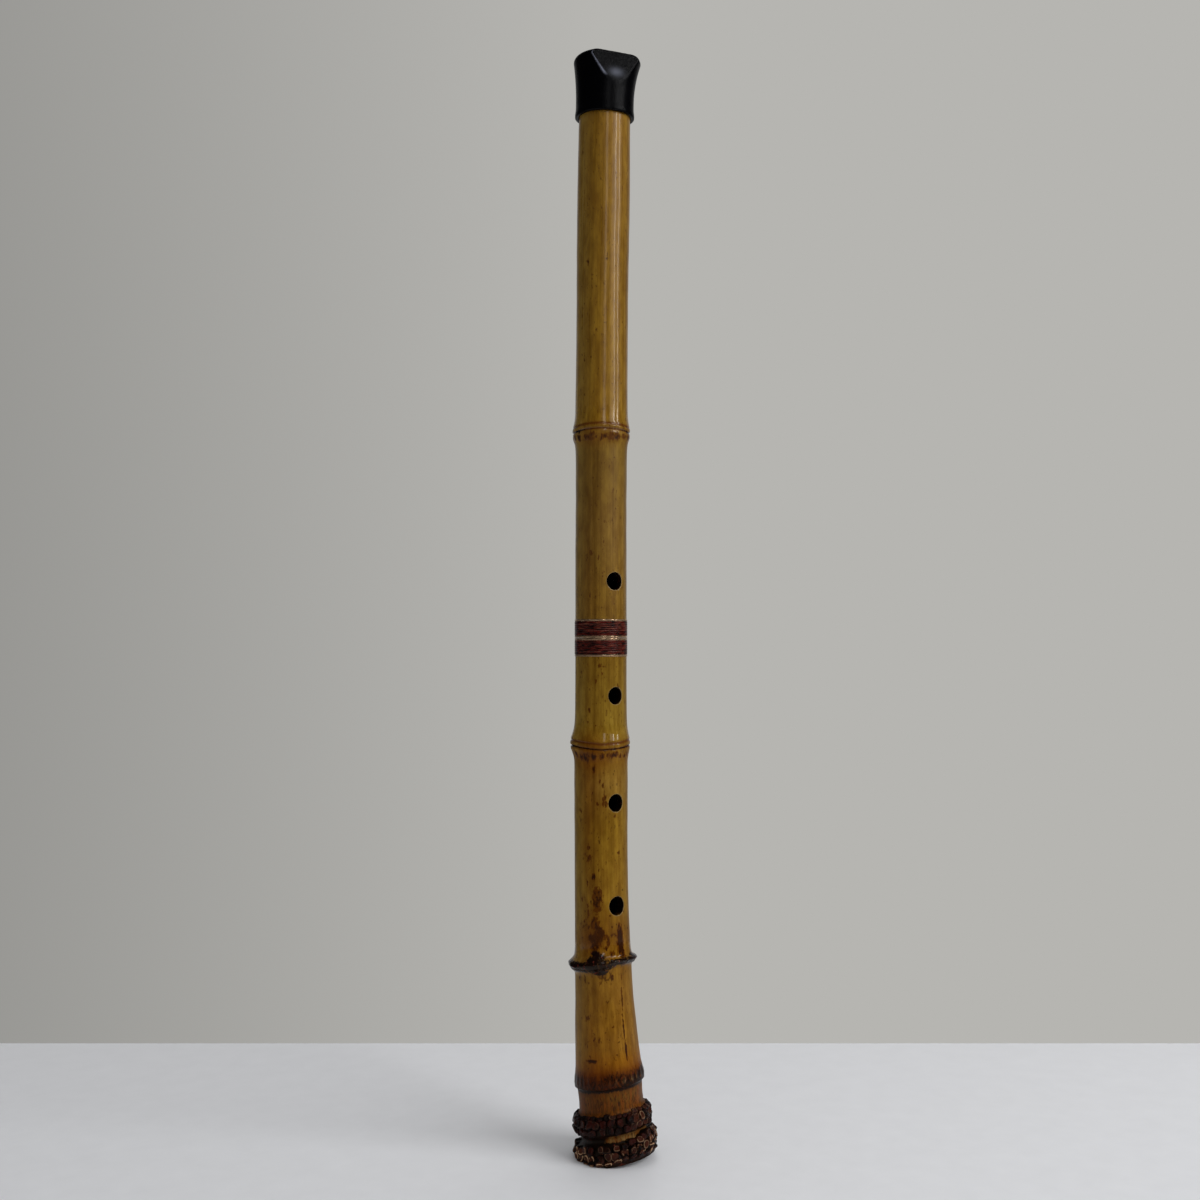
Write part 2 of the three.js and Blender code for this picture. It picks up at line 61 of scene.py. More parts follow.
flute = {
    "length": 636.0, "joint": 300.7, "foot": -0.8, "pressedTo": 12, "columns": 160,
    "axis": (-5.154, 7.642),      # where the straight middle stands in the frame
    "bendTurn": 34.0, "mouthBow": 2.9, "rootBow": 10.0, "rootLean": 1.75,
    "straightFoot": 228.96, "straightTop": 325.69,
    "photoSide": -123.0,          # polar angle of the side that faces the camera
}
length, seam = flute["length"], flute["joint"]
bendAngle = radians(flute["bendTurn"])
bendSide = np.array([sin(bendAngle), -cos(bendAngle)])


# Bending

def bentShares(height):
    # How far a height lies into the bent mouth and into the bent root
    up = (height - flute["straightTop"]) / (length - flute["straightTop"])
    down = (flute["straightFoot"] - height) / flute["straightFoot"]
    return np.maximum(up, 0), np.maximum(down, 0)


def leanAt(height):
    up, down = bentShares(height)
    upper = 2 * flute["mouthBow"] * up / (length - flute["straightTop"])
    return upper - flute["rootLean"] * 3 * flute["rootBow"] * down**2 / flute["straightFoot"]


def bowAt(height):
    up, down = bentShares(height)
    return flute["mouthBow"] * up**2 + flute["rootBow"] * down**3


def bentPlaces(points):
    along, heights = points[:, :2] @ bendSide, points[:, 2]
    bent = points.copy()
    bent[:, :2] += bowAt(heights)[:, None] * bendSide
    bent[:, :2] += flute["axis"]
    bent[:, 2] = np.maximum(heights - leanAt(heights) * along, 0)
    return bent * 0.001


# Meshes and pieces

def placesOf(mesh):
    flat = np.zeros(len(mesh.vertices) * 3)
    mesh.vertices.foreach_get("co", flat)
    return flat.reshape(-1, 3)


def setPlaces(mesh, points):
    mesh.vertices.foreach_set("co", points.ravel())
    mesh.update()


def wrapped(turns):
    return (turns + 180) % 360 - 180


def turnOf(points):
    # Degrees round the culm from the side that the camera sees, to its right
    return wrapped(np.degrees(np.arctan2(points[:, 1], points[:, 0])) - flute["photoSide"])


def keepNumbers(mesh, **numbers):
    # Point attributes, which the materials read
    for name, values in numbers.items():
        layer = mesh.attributes.new(name, "FLOAT", "POINT")
        layer.data.foreach_set("value", np.asarray(values, np.float32))


def meshFrom(bm, name):
    bmesh.ops.recalc_face_normals(bm, faces=bm.faces[:])
    mesh = bpy.data.meshes.new(name)
    bm.to_mesh(mesh)
    bm.free()
    return mesh


def addObject(name, data):
    made = bpy.data.objects.new(name, data)
    scene.collection.objects.link(made)
    return made


def addPiece(mesh, body, nodes, look, sharpAngle=40):
    mesh.polygons.foreach_set("use_smooth", [True] * len(mesh.polygons))
    mesh.set_sharp_from_angle(angle=radians(sharpAngle))
    piece = addObject(mesh.name, mesh)
    slotName, material = looks[look]
    mesh.materials.append(material)
    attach(piece, body)
    if nodes:
        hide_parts(*nodes)


def addBentPiece(mesh, body, nodes, look, sharpAngle=40):
    straight = placesOf(mesh)
    layer = mesh.attributes.new("straight", "FLOAT_VECTOR", "POINT")
    layer.data.foreach_set("vector", (straight * 0.001).astype(np.float32).ravel())
    setPlaces(mesh, bentPlaces(straight))
    addPiece(mesh, body, nodes, look, sharpAngle)


# Materials

making = {}       # the material and the node tree that are being made


def shade(code):
    # A colour written as six hexadecimal digits, in Blender's linear values
    parts = [int(code[i:i + 2], 16) / 255 for i in (0, 2, 4)]
    linear = [p / 12.92 if p <= 0.04045 else ((p + 0.055) / 1.055) ** 2.4 for p in parts]
    return (*linear, 1.0)


def fill(node, inputs):
    for key, value in inputs.items():
        if isinstance(value, bpy.types.NodeSocket):
            making["tree"].links.new(value, node.inputs[key])
        else:
            node.inputs[key].default_value = value


def addNode(kind, inputs, **settings):
    made = making["tree"].nodes.new("ShaderNode" + kind)
    for key, value in settings.items():
        setattr(made, key, value)
    fill(made, inputs)
    return made


def startMaterial(name):
    making["material"] = bpy.data.materials.new(name)
    making["material"].use_nodes = True
    making["tree"] = making["material"].node_tree


def finishMaterial(tone, roughness, bump=None, coat=(0, 0.03), specular=0.5, others={}):
    # Bump is (height, strength, distance) and coat is (weight, roughness)
    inputs = {"Base Color": tone, "Roughness": roughness, "Specular IOR Level": specular, **others}
    inputs["Coat Weight"], inputs["Coat Roughness"] = coat
    if bump:
        relief = addNode("Bump", dict(zip(("Height", "Strength", "Distance"), bump)))
        inputs["Normal"] = relief.outputs["Normal"]
    fill(making["tree"].nodes["Principled BSDF"], inputs)
    return making["material"]


def attribute(name, output="Fac"):
    return addNode("Attribute", {}, attribute_name=name).outputs[output]


def ownPlace():
    return addNode("TexCoord", {}).outputs["Object"]


def noiseOf(vector, scale, detail=3.0, roughness=0.55, stretch=(1, 1, 1), shift=(0, 0, 0)):
    mapped = addNode("Mapping", {"Vector": vector, "Scale": stretch, "Location": shift}).outputs[0]
    inputs = {"Vector": mapped, "Scale": scale, "Detail": detail, "Roughness": roughness}
    return addNode("TexNoise", inputs).outputs["Fac"]


def mathOf(operation, first, second=0.0):
    return addNode("Math", {0: first, 1: second}, operation=operation).outputs[0]


def plus(first, second):
    return mathOf("ADD", first, second)


def minus(first, second):
    return mathOf("SUBTRACT", first, second)


def times(first, second):
    return mathOf("MULTIPLY", first, second)


def rangeOf(value, low, high, lowest=0.0, most=1.0, **settings):
    inputs = {"Value": value, "From Min": low, "From Max": high, "To Min": lowest, "To Max": most}
    return addNode("MapRange", inputs, **settings).outputs["Result"]


def stepOf(value, low, high, most=1.0):
    return rangeOf(value, low, high, 0.0, most, interpolation_type="SMOOTHSTEP")


def spread(value, lowest, most):
    return rangeOf(value, 0.0, 1.0, lowest, most)


def mixOf(factor, first, second, blend="MIX"):
    # Colours may be given as sockets, as linear values or as codes
    first, second = [shade(c) if isinstance(c, str) else c for c in (first, second)]
    inputs = {0: factor, 6: first, 7: second}
    return addNode("Mix", inputs, data_type="RGBA", blend_type=blend).outputs[2]


def rampOf(value, stops):
    # Colours along a value in metres, from (millimetres, colour) pairs
    low, high = stops[0][0], stops[-1][0]
    ramp = addNode("ValToRGB", {"Fac": rangeOf(value, low / 1000, high / 1000)})
    elements = ramp.color_ramp.elements
    for place, code in stops[1:-1]:
        elements.new((place - low) / (high - low)).color = shade(code)
    elements[0].color = shade(stops[0][1])
    elements[len(elements) - 1].color = shade(stops[-1][1])
    return ramp.outputs["Color"]


culmLook = {
    # Height in millimetres and the bamboo's own colour there, browner towards the root
    "tones": [
        (0, "6b4426"), (12, "86683c"), (20, "6b4426"), (29, "5c380e"), (34, "5f3d12"), (38, "684615"),
        (42, "4a2206"), (46, "4c2004"), (51, "66360a"), (56, "86560c"), (64, "885f16"), (104, "88621c"),
        (128, "744e0e"), (150, "84631a"), (195, "806016"), (216, "886828"), (233, "7e5c18"),
        (251, "8b7024"), (280, "7d601b"), (319, "7a5a14"), (365, "7b5d20"), (408, "765a1a"),
        (426, "886619"), (636, "85621b"),
    ],
    "grain": ("cdc5b4", "ffffff"), "gain": (1.1, 1.1, 1.1, 1),
    "mottle": ("dcd0bc", (1.06, 1.06, 1.06, 1)),
    # 967e3e is the painted reflection along the left edge, and 66583e the painted shade along the right
    # edge
    "bloom": "967e3e", "dim": "66583e", "warm": "e6be70", "rootOrange": "6c3608", "rootDark": "2a1407",
    # rim (a08a62) is a painted highlight on the holes' rims and on the lip's bars
    "line": "522603", "stain": "4e2500", "spot": "260e03", "scorch": "361703", "rim": "a08a62",
    # The char colour 120604 also paints the shade in the recess at the root
    "char": "120604", "charRed": "5a2018", "tint": (1.0, 0.78, 0.5, 1),
}


def bambooMaterial(name, coat, specular):
    startMaterial(name)
    look = culmLook
    straight = attribute("straight", "Vector")
    height = addNode("SeparateXYZ", {0: straight}).outputs["Z"]
    fine = noiseOf(straight, 1, 2, 0.6, (2600, 2600, 22))
    broad = noiseOf(straight, 1, 3, 0.5, (420, 420, 9), (3, 5, 2))
    cloud = noiseOf(straight, 38, 4, 0.6, (1, 1, 0.35), (1, 2, 7))
    mottle = noiseOf(straight, 210, 5, 0.65, (1, 1, 0.4), (6, 2, 3))

    # The bamboo's own colour, with its grain, warm fields and fine mottles, and a painted reflection of
    # the wall along its left edge and painted shade along its right edge
    grain = plus(times(fine, 0.45), times(broad, 0.55))
    grain = mixOf(stepOf(grain, 0.3, 0.68), *look["grain"])
    tone = mixOf(1, rampOf(height, look["tones"]), grain, "MULTIPLY")
    tone = mixOf(1, tone, look["gain"], "MULTIPLY")
    # Painted reflection: paler along the left edge; painted shade: darker along the right edge
    bloom = attribute("bloom")
    tone = mixOf(bloom, tone, look["bloom"])
    tone = mixOf(times(bloom, -1), tone, look["dim"])
    warmth = plus(attribute("warm"), times(minus(cloud, 0.5), 0.7))
    tone = mixOf(stepOf(warmth, 0, 1), tone, look["warm"], "MULTIPLY")
    tone = mixOf(1, tone, mixOf(stepOf(mottle, 0.3, 0.7), *look["mottle"]), "MULTIPLY")

    # The root's orange and dark grain, under the lip
    root = stepOf(height, 0.042, 0.037, 0.8)
    sap = noiseOf(straight, 1, 3, 0.65, (620, 620, 110), (3, 3, 8))
    tone = mixOf(times(stepOf(sap, 0.48, 0.58), root), tone, look["rootOrange"])
    dark = noiseOf(straight, 1, 3, 0.6, (900, 900, 260), (9, 3, 1))
    tone = mixOf(times(stepOf(dark, 0.54, 0.62), root), tone, look["rootDark"])

    # Brown marks with uneven edges, then specks, the painted highlight on the rims of the holes and on the
    # lip's bars, and the char, which also carries painted shade at the root
    edge = noiseOf(straight, 900, 3, 0.6, (1, 1, 0.5), (4, 1, 9))
    scorchNoise = noiseOf(straight, 250, 5, 0.62, (1, 1, 0.6), (5, 5, 1))
    edgeShift = times(plus(times(minus(edge, 0.5), 1.9), minus(scorchNoise, 0.5)), 1.35)
    marked = plus(attribute("stain"), edgeShift)
    scorch = plus(times(attribute("scorch"), 0.34), scorchNoise)
    specks = stepOf(noiseOf(straight, 1, 1, 0.4, (620, 620, 300), (8, 3, 1)), 0.7, 0.77)
    for factor, key in (
        (attribute("line"), "line"), (stepOf(marked, 0.3, 0.66, 0.9), "stain"),
        (stepOf(marked, 0.8, 1.2, 0.9), "spot"), (stepOf(scorch, 0.76, 0.86, 0.85), "scorch"),
        (times(specks, attribute("specks")), "spot"), (attribute("rim"), "rim"),
    ):
        tone = mixOf(factor, tone, look[key])
    charred = stepOf(plus(attribute("char"), times(edgeShift, 0.7)), 0.2, 0.9)
    reddish = stepOf(noiseOf(straight, 420, 3, 0.6, (1, 1, 1), (2, 2, 5)), 0.6, 0.7)
    tone = mixOf(charred, tone, mixOf(reddish, look["char"], look["charRed"]))

    # The char above the root shines more than the bamboo, and is crusty
    matt = plus(broad, times(attribute("dull"), 0.6))
    glossy = times(charred, stepOf(height, 0.06, 0.08))
    relief = plus(times(fine, 0.6), times(cloud, 0.5))
    relief = plus(relief, times(times(edge, charred), 12))
    shine = plus(times(attribute("gloss"), spread(mottle, 0.2, 1.4)), coat)
    roughness = spread(times(matt, spread(glossy, 1, 0.6)), 0.12, 0.5)
    tint = {"Specular Tint": look["tint"]}
    return finishMaterial(tone, roughness, (relief, 0.1, 0.0004), (shine, 0.05), specular, tint)


def lacquerMaterial(name, code, roughness):
    startMaterial(name)
    flow = noiseOf(ownPlace(), 90, 3, 0.5)
    base = shade(code)
    darker = (*[c * 0.6 for c in base[:3]], 1)
    return finishMaterial(mixOf(flow, darker, base), roughness, (flow, 0.15, 0.0005), (0.4, 0.03))


def woodMaterial():
    startMaterial("jointWood")
    place = ownPlace()
    fibre = noiseOf(place, 1, 3, 0.6, (1500, 1500, 40))
    pores = stepOf(noiseOf(place, 1, 2, 0.5, (3800, 3800, 260), (2, 2, 2)), 0.62, 0.7)
    tone = mixOf(stepOf(fibre, 0.3, 0.7), "7a5527", "9c7642")
    tone = mixOf(times(pores, 0.6), tone, "3a220d")
    return finishMaterial(tone, 0.42, (minus(fibre, pores), 0.2, 0.0003), (0.1, 0.03))


def ringMaterial():
    startMaterial("silverRing")
    place = ownPlace()
    brushed = noiseOf(place, 1, 3, 0.7, (160, 160, 9000))
    tarnish = stepOf(noiseOf(place, 260, 4, 0.6, (1, 1, 2.2), (5, 1, 3)), 0.44, 0.64)
    tone = mixOf(times(tarnish, 0.6), mixOf(brushed, "866a4e", "b89a7a"), "4c3826")
    roughness = spread(tarnish, 0.12, 0.34)
    return finishMaterial(tone, roughness, (brushed, 0.08, 0.0001), others={"Metallic": 0.6})


def rattanMaterial():
    # Lacquered strand: near black, with red where the lacquer is thin, tan flecks along it, a painted
    # highlight on some laps' upper edges and painted shade in the crevices between laps
    startMaterial("rattan")
    straight = attribute("straight", "Vector")
    patch = noiseOf(straight, 1, 2, 0.6, (200, 200, 1300))
    fleck = noiseOf(straight, 1, 3, 0.7, (230, 230, 5600), (4, 7, 1))
    tone = mixOf(stepOf(patch, 0.4, 0.58), "120201", "460904")
    tone = mixOf(stepOf(plus(fleck, times(patch, 0.5)), 0.84, 0.98), tone, "764630")
    # Painted highlight on the upper edges of some laps
    tone = mixOf(times(attribute("worn"), stepOf(patch, 0.36, 0.52, 0.45)), tone, "86604e")
    # Painted shade: darker down into the crevices between the laps
    tone = mixOf(stepOf(attribute("strand"), 0.32, 0.6, 0.85), tone, "0c0201")
    return finishMaterial(tone, 0.3, (fleck, 0.3, 0.0002), (0.04, 0.12), 0.1)


def stubMaterial():
    # Carved root stubs under lacquer: a pale ring in a dark face, each stub in its own tone, with painted
    # shade on the sides that go down between them
    startMaterial("rootStub")
    straight = attribute("straight", "Vector")
    tone = attribute("tone")
    rough = noiseOf(straight, 620, 5, 0.65)
    place = plus(attribute("share"), times(minus(rough, 0.5), 0.45))
    red = noiseOf(straight, 210, 2, 0.5, (1, 1, 1), (7, 1, 2))
    core = mixOf(tone, mixOf(stepOf(red, 0.42, 0.6), "100604", "2c0c06"), "44200f")
    away = mathOf("ABSOLUTE", minus(place, 0.7))
    worn = stepOf(noiseOf(straight, 330, 3, 0.6, (1, 1, 1), (1, 8, 4)), 0.4, 0.56)
    ring = times(stepOf(away, 0.15, 0.03), worn)
    face = mixOf(times(ring, spread(tone, 0.2, 1)), core, mixOf(tone, "3a2218", "d0a880"))
    # Painted shade: each stub's sloping sides, down into the gaps between the stubs, are near black
    face = mixOf(stepOf(place, 0.8, 0.98), face, "0c0503")
    return finishMaterial(face, 0.26, (plus(times(ring, 0.5), rough), 0.9, 0.0008), (0.03, 0.08), 0.08)


def rubberMaterial():
    startMaterial("capRubber")
    place = ownPlace()
    cloud = noiseOf(place, 120, 4, 0.6)
    fine = noiseOf(place, 900, 3, 0.6)
    dust = stepOf(noiseOf(place, 700, 3, 0.7, (1, 1, 1), (3, 9, 4)), 0.58, 0.8, 0.3)
    tone = mixOf(dust, mixOf(cloud, "010102", "030305"), "17171c")
    # A painted highlight on the facet's left crease and pad
    tone = mixOf(times(attribute("wear"), spread(cloud, 0.6, 1.2)), tone, "868a9a")
    bump = (plus(times(fine, 0.5), times(cloud, 1.2)), 0.25, 0.0008)
    return finishMaterial(tone, spread(cloud, 0.2, 0.4), bump, specular=0.08)


# The frame's slot and the material of each look
looks = {
    "upperCulm": ("tube_bamboo", bambooMaterial("bambooTube", 0.22, 0.4)),
    "lowerCulm": ("root_bamboo", bambooMaterial("bambooRoot", 0.05, 0.12)),
    "lining": ("bore_lacquer", lacquerMaterial("boreLacquer", "0d0809", 0.25)),
    "horn": ("horn", lacquerMaterial("horn", "17110d", 0.2)),
    "wood": ("joint_wood", woodMaterial()),
    "ring": ("silver_ring", ringMaterial()),
    "rattan": ("rattan", rattanMaterial()),
    "stub": ("root_bamboo", stubMaterial()),
    "rubber": ("cap_rubber", rubberMaterial()),
}
print("materials made")


# Turned shapes

def turnedShape(profile, columns):
    # A closed profile of (radius, height) pairs, spun round the bore
    bm = bmesh.new()
    start = radians(-90)
    verts = [bm.verts.new((r * cos(start), r * sin(start), h)) for r, h in profile]
    edges = [bm.edges.new((verts[i - 1], verts[i])) for i in range(len(verts))]
    bmesh.ops.spin(
        bm, geom=verts + edges, cent=(0, 0, 0), axis=(0, 0, 1), dvec=(0, 0, 0),
        angle=2 * pi, steps=columns, use_merge=True,
    )
    bmesh.ops.remove_doubles(bm, verts=bm.verts[:], dist=0.0005)
    return bm


def rowsBetween(low, high, step, zones):
    # Row heights, closer together in zones given as (middle, half height, step)
    rows, at = [], low
    for middle, half, fine in sorted(zones):
        count = max(1, round((middle - half - at) / step))
        rows += list(np.linspace(at, middle - half, count + 1))[:-1]
        rows += list(np.linspace(middle - half, middle + half, round(2 * half / fine) + 1))[:-1]
        at = middle + half
    count = max(1, round((high - at) / step))
    return rows + list(np.linspace(at, high, count + 1))


def outAndSide(degrees):
    # Level directions at a polar angle: away from the axis, and on round it
    angle = radians(degrees)
    c, s = cos(angle), sin(angle)
    return Vector((c, s, 0)), Vector((-s, c, 0))


def pulledEdges(bm, edges):
    # Pulls faces out of a loop of edges, and returns their far edges and vertices
    made = bmesh.ops.extrude_edge_only(bm, edges=edges)["geom"]
    loop = [g for g in made if isinstance(g, bmesh.types.BMEdge) and g.is_boundary]
    return loop, list({v for e in loop for v in e.verts})


# The grid round a hole: a square ring of cells is turned into a circle, and the cells round it
# follow as far as a number of rows, and of columns on the outer face, the hollow and the bore
holeGrid = {
    "ring": 8, "rows": 12, "rowStep": 0.62, "outer": 13, "hollow": 20, "bore": 25,
    "edge": 0.35, "edgeAngles": (30, 60, 90),
}


def roundRing(bm, hole, radiusAt, columns, edge):
    middle, width, tall, facing = hole
    step = 2 * pi / flute["columns"]
    out, side = outAndSide(facing)
    ring, rows, rowStep = holeGrid["ring"], holeGrid["rows"], holeGrid["rowStep"]
    inside, rim = [], []
    for v in bm.verts:
        x, y, z = v.co
        row = (z - middle) / rowStep
        column = ((atan2(y, x) - radians(facing) + pi) % (2 * pi) - pi) / step
        if abs(row) > rows + 0.01 or abs(column) > columns + 0.01:
            continue
        if abs(hypot(x, y) - radiusAt(z)) > 0.02:
            continue
        i, j = round(column), round(row)
        away = max(abs(i), abs(j))
        if away < ring:
            inside.append(v)
            continue
        if abs(i) == away:
            angle = pi / 4 * j / away if i > 0 else pi - pi / 4 * j / away
        else:
            angle = (pi / 2 - pi / 4 * i / away) * (1 if j > 0 else -1)
        share = max((abs(i) - ring) / (columns - ring), (abs(j) - ring) / (rows - ring))
        across = (1 - share) * (width / 2 + edge) * cos(angle) + share * radiusAt(z) * sin(i * step)
        height = middle + (1 - share) * (tall / 2 + edge) * sin(angle) + share * j * rowStep
        v.co = out * sqrt(radiusAt(height) ** 2 - across**2) + side * across + Vector((0, 0, height))
        if away == ring:
            rim.append(v)
    bmesh.ops.delete(bm, geom=inside, context="VERTS")
    return [e for e in {e for v in rim for e in v.link_edges} if e.is_boundary]


def cutHole(bm, hole, outer, inner, edge):
    # Outer and inner are a face's radius at a height and its number of columns that follow
    outerRim, innerRim = roundRing(bm, hole, *outer, edge), roundRing(bm, hole, *inner, 0)
    out = outAndSide(hole[3])[0]
    last = 0
    for now in map(radians, holeGrid["edgeAngles"] if edge else ()):
        outerRim, verts = pulledEdges(bm, outerRim)
        inward, deeper = edge * (sin(now) - sin(last)), edge * (cos(last) - cos(now))
        for v in verts:
            away = v.co - Vector((0, 0, hole[0]))
            away -= out * away.dot(out)
            v.co -= away.normalized() * inward + out * deeper
        last = now
    bmesh.ops.bridge_loops(bm, edges=outerRim + innerRim)


# The culm

culm = {
    # (height, radius) of the outer face, from the root up
    "lowerOutline": [
        (-0.8, 22.5), (4.4, 22.5), (8.8, 21.8), (11, 18.9), (14, 18.3), (16.7, 20.6), (21.5, 21.8),
        (26.2, 20.5), (28.8, 18.7), (33.4, 18.5), (40, 18.8), (41.6, 19.1), (42.6, 20.4), (45, 20.3),
        (50, 19.7), (53, 19.2), (61, 18.55), (75, 17.9), (89, 17.0), (103, 16.6), (124, 16.1),
        (147, 15.75), (177, 15.5), (226, 15.45), (243, 15.3), (252, 15.0), (301, 15.0),
    ],
    "upperOutline": [
        (300, 15), (323, 15), (381, 14.9), (405, 15.05), (424, 15.3), (432, 15.35), (445, 15.25),
        (470, 15.1), (498, 15.05), (557, 15.3), (604, 14.95), (640, 14.9),
    ],
    "outlineStep": 0.25, "soften": 6, "cornersTo": (48, 62),
    "footRadii": (11.5, 21.8), "mouthRadii": (14.0, 13.1, 12.2),
    "lowerStep": 0.95, "upperStep": 1.05, "hollowStep": 12,     # between rows
    "grooveFloor": 14.3, "lowerHollow": 10.6, "upperHollow": 11.3,
    "bore": [(0, 9.3), (120.8, 8.205), (275.2, 8.895), (325.7, 8.895), (636, 10.0)],
    # (height, width, tallness, facing) of the holes
    "lowerHoles": [(145.9, 10.2, 11.2, -87.75), (205.5, 9.8, 10.5, -87.75), (267.3, 9.5, 10.2, -87.75)],
    "upperHoles": [(333.4, 10.2, 10.4, -90), (373.3, 9.8, 10, 90)],
    # Finer rows at the nodes
    "lowerZones": [(238.5, 8, 0.4), (113.4, 9.6, 0.5), (46, 7, 0.45)], "upperZones": [(421.5, 8, 0.4)],
}
joint = {"gap": 0.05, "faceRing": 1.2, "binding": 8.4, "endRing": 1.1, "bandRadius": 15.43}
socket = {"floor": 275.2, "radius": 11.75, "tenonSeat": 10.35, "tenonTop": 325.7}
stack = joint["gap"] + joint["faceRing"]
groove = joint["binding"] + joint["endRing"]
lowerGroove = seam - stack - groove
upperGroove = seam + stack


def tableAt(places, table):
    # Reads values off (place, value) pairs
    return np.interp(places, *zip(*table))


def roundTable(turns, table):
    # The same for pairs that run once round the culm
    first, last = table[0], table[-1]
    return tableAt(turns, [(last[0] - 360, last[1]), *table, (first[0] + 360, first[1])])


def rise(values, start, end):
    # 0 up to the start and 1 from the end on, whichever of the two is higher
    return np.clip((values - start) / (end - start), 0, 1)


def bell(distance, width):
    return np.exp(-((distance / width) ** 2))


def bells(places, rows):
    # Bells given as (size, middle, width), added up
    return sum(size * bell(places - middle, width) for size, middle, width in rows)


def smoothRadius(outline):
    fine = culm["outlineStep"]
    heights = np.arange(outline[0][0], outline[-1][0] + fine, fine)
    radii = tableAt(heights, outline)
    reach = int(culm["soften"] / fine)
    weights = np.hanning(2 * reach + 3)[1:-1]
    smooth = np.convolve(np.pad(radii, reach, mode="edge"), weights / weights.sum(), mode="valid")
    share = rise(heights, *culm["cornersTo"])     # the root keeps its corners
    both = radii * (1 - share) + smooth * share
    return lambda height: np.interp(height, heights, both)


def ripple(turns, h, seed, size, wave):
    # A slow, smooth unevenness of the surface
    draw = random.Random(seed)
    total = np.zeros(len(turns))
    angles = np.radians(turns)
    for _ in range(7):
        around = draw.randint(1, 4) * angles
        total += np.sin(around + h * draw.uniform(-1, 1) * 2 * pi / wave + draw.uniform(0, 6.28))
    return total * size / 3


# The two plain nodes: height of the black line, height of the brow over it and of the swelling's
# top, and round the culm how the line wanders, how big the swelling is and how black the line
plainNodes = [
    {
        "height": 237.8, "brow": 3.2, "plateau": (-1.5, 4.2),
        "wander": [
            (-150, 0.2), (-90, 0.5), (-60, 0.3), (-30, -0.7), (0, -1.5), (35, -0.9), (70, 0.3),
            (120, 0.5),
        ],
        "size": [(-150, 1.1), (-75, 1.9), (-30, 1.4), (0, 1.1), (75, 1.05), (120, 1.1)],
        "ink": [
            (-150, 0.6), (-75, 1), (-45, 0.85), (-15, 0.75), (15, 0.7), (45, 0.8), (75, 1), (120, 0.6),
        ],
    },
    {
        "height": 420.2, "brow": 3.0, "plateau": (-2.2, 2.6),
        "wander": [
            (-150, 0), (-90, -0.6), (-60, -0.3), (-30, 0.6), (0, 1), (35, 0.7), (70, -0.3), (120, 0.3),
        ],
        "size": [(-150, 1), (-75, 1.25), (0, 1), (75, 1.15), (120, 1)],
        "ink": [
            (-150, 0.6), (-75, 1), (-48, 0.9), (-30, 0.35), (0, 0.2), (35, 0.25), (60, 0.8), (75, 1),
            (120, 0.6),
        ],
    },
]


def plainNodeShape(turns, h, node):
    above = h - node["height"] - roundTable(turns, node["wander"])
    low, high = node["plateau"]
    under, over = np.maximum(low - above, 0), np.maximum(above - high, 0)
    swell = 1.25 * np.exp(-((under / 3.6) ** 1.4) - (over / 5.0) ** 1.3)
    swell += bells(above, [(0.2, 1.6, 1.0), (-0.55, 0, 0.36), (-0.2, node["brow"], 0.45)])
    black = 1.15 * bell(above, 0.5) * roundTable(turns, node["ink"])
    brown = 0.95 * np.maximum(bell(above - node["brow"], 0.95), bell(above, 0.8))
    return swell * roundTable(turns, node["size"]), black, brown


burntNode = {
    # middle, half height and size of the swelling round the culm
    "middle": [
        (-150, 112.2), (-90, 111.6), (-40, 111.6), (-13, 112), (5, 113), (25, 114.2), (74, 113.6),
        (130, 112.6),
    ],
    "half": [(-150, 2.6), (-90, 3.2), (-40, 3.4), (-13, 3.6), (5, 3.2), (25, 2), (74, 2.3), (130, 2.2)],
    "swell": [(-150, 1.95), (-90, 3.3), (-62, 3.2), (-40, 2.7), (-13, 3), (25, 2), (74, 2.7), (130, 2.3)],
    # turn, height, width, tallness and size
    "knots": [
        (-10, 116.8, 4.6, 2.6, 1.1), (-20, 115.4, 3.4, 2.2, 0.7), (-6, 108.8, 4.5, 1.6, 0.7),
        (-66, 110.5, 3.6, 3.0, 0.5), (70, 114.6, 3.4, 3.4, 0.6), (40, 112.8, 2.6, 1.4, 0.45),
        (150, 113.0, 3.5, 3.0, 0.8),
    ],
    "lumps": 60, "lumpSize": (0.15, 0.7), "seed": 21, "radius": 17,
}


def burntNodeShape(turns, h):
    middle, half = roundTable(turns, burntNode["middle"]), roundTable(turns, burntNode["half"])
    across = np.abs((h - middle) / half)
    swell = roundTable(turns, burntNode["swell"]) * np.exp(-(across**2.6))
    swell += 0.5 * bell(h - middle - half, 5) - 0.45 * bell(h - middle + 0.35 * half, 0.5)
    black = np.clip(1.35 - across**2.5, 0, 1)
    draw = random.Random(burntNode["seed"])
    lumps = list(burntNode["knots"])
    for number in range(burntNode["lumps"]):
        turn = 360 * number / burntNode["lumps"] - 180 + draw.uniform(-5, 5)
        place = float(roundTable(turn, burntNode["middle"])) + draw.uniform(-2.4, 2.4)
        wide, tall = draw.uniform(0.7, 1.9), draw.uniform(0.6, 1.3)
        lumps.append((turn, place, wide, tall, draw.uniform(*burntNode["lumpSize"])))
    for turn, height, width, tall, size in lumps:
        apart = np.radians(wrapped(turns - turn)) * burntNode["radius"]
        near = bell(apart, width) * bell(h - height, tall)
        swell += size * near
        black = np.maximum(black, np.clip(near * 1.6 * min(1, size * 1.6), 0, 1))
    return swell, black


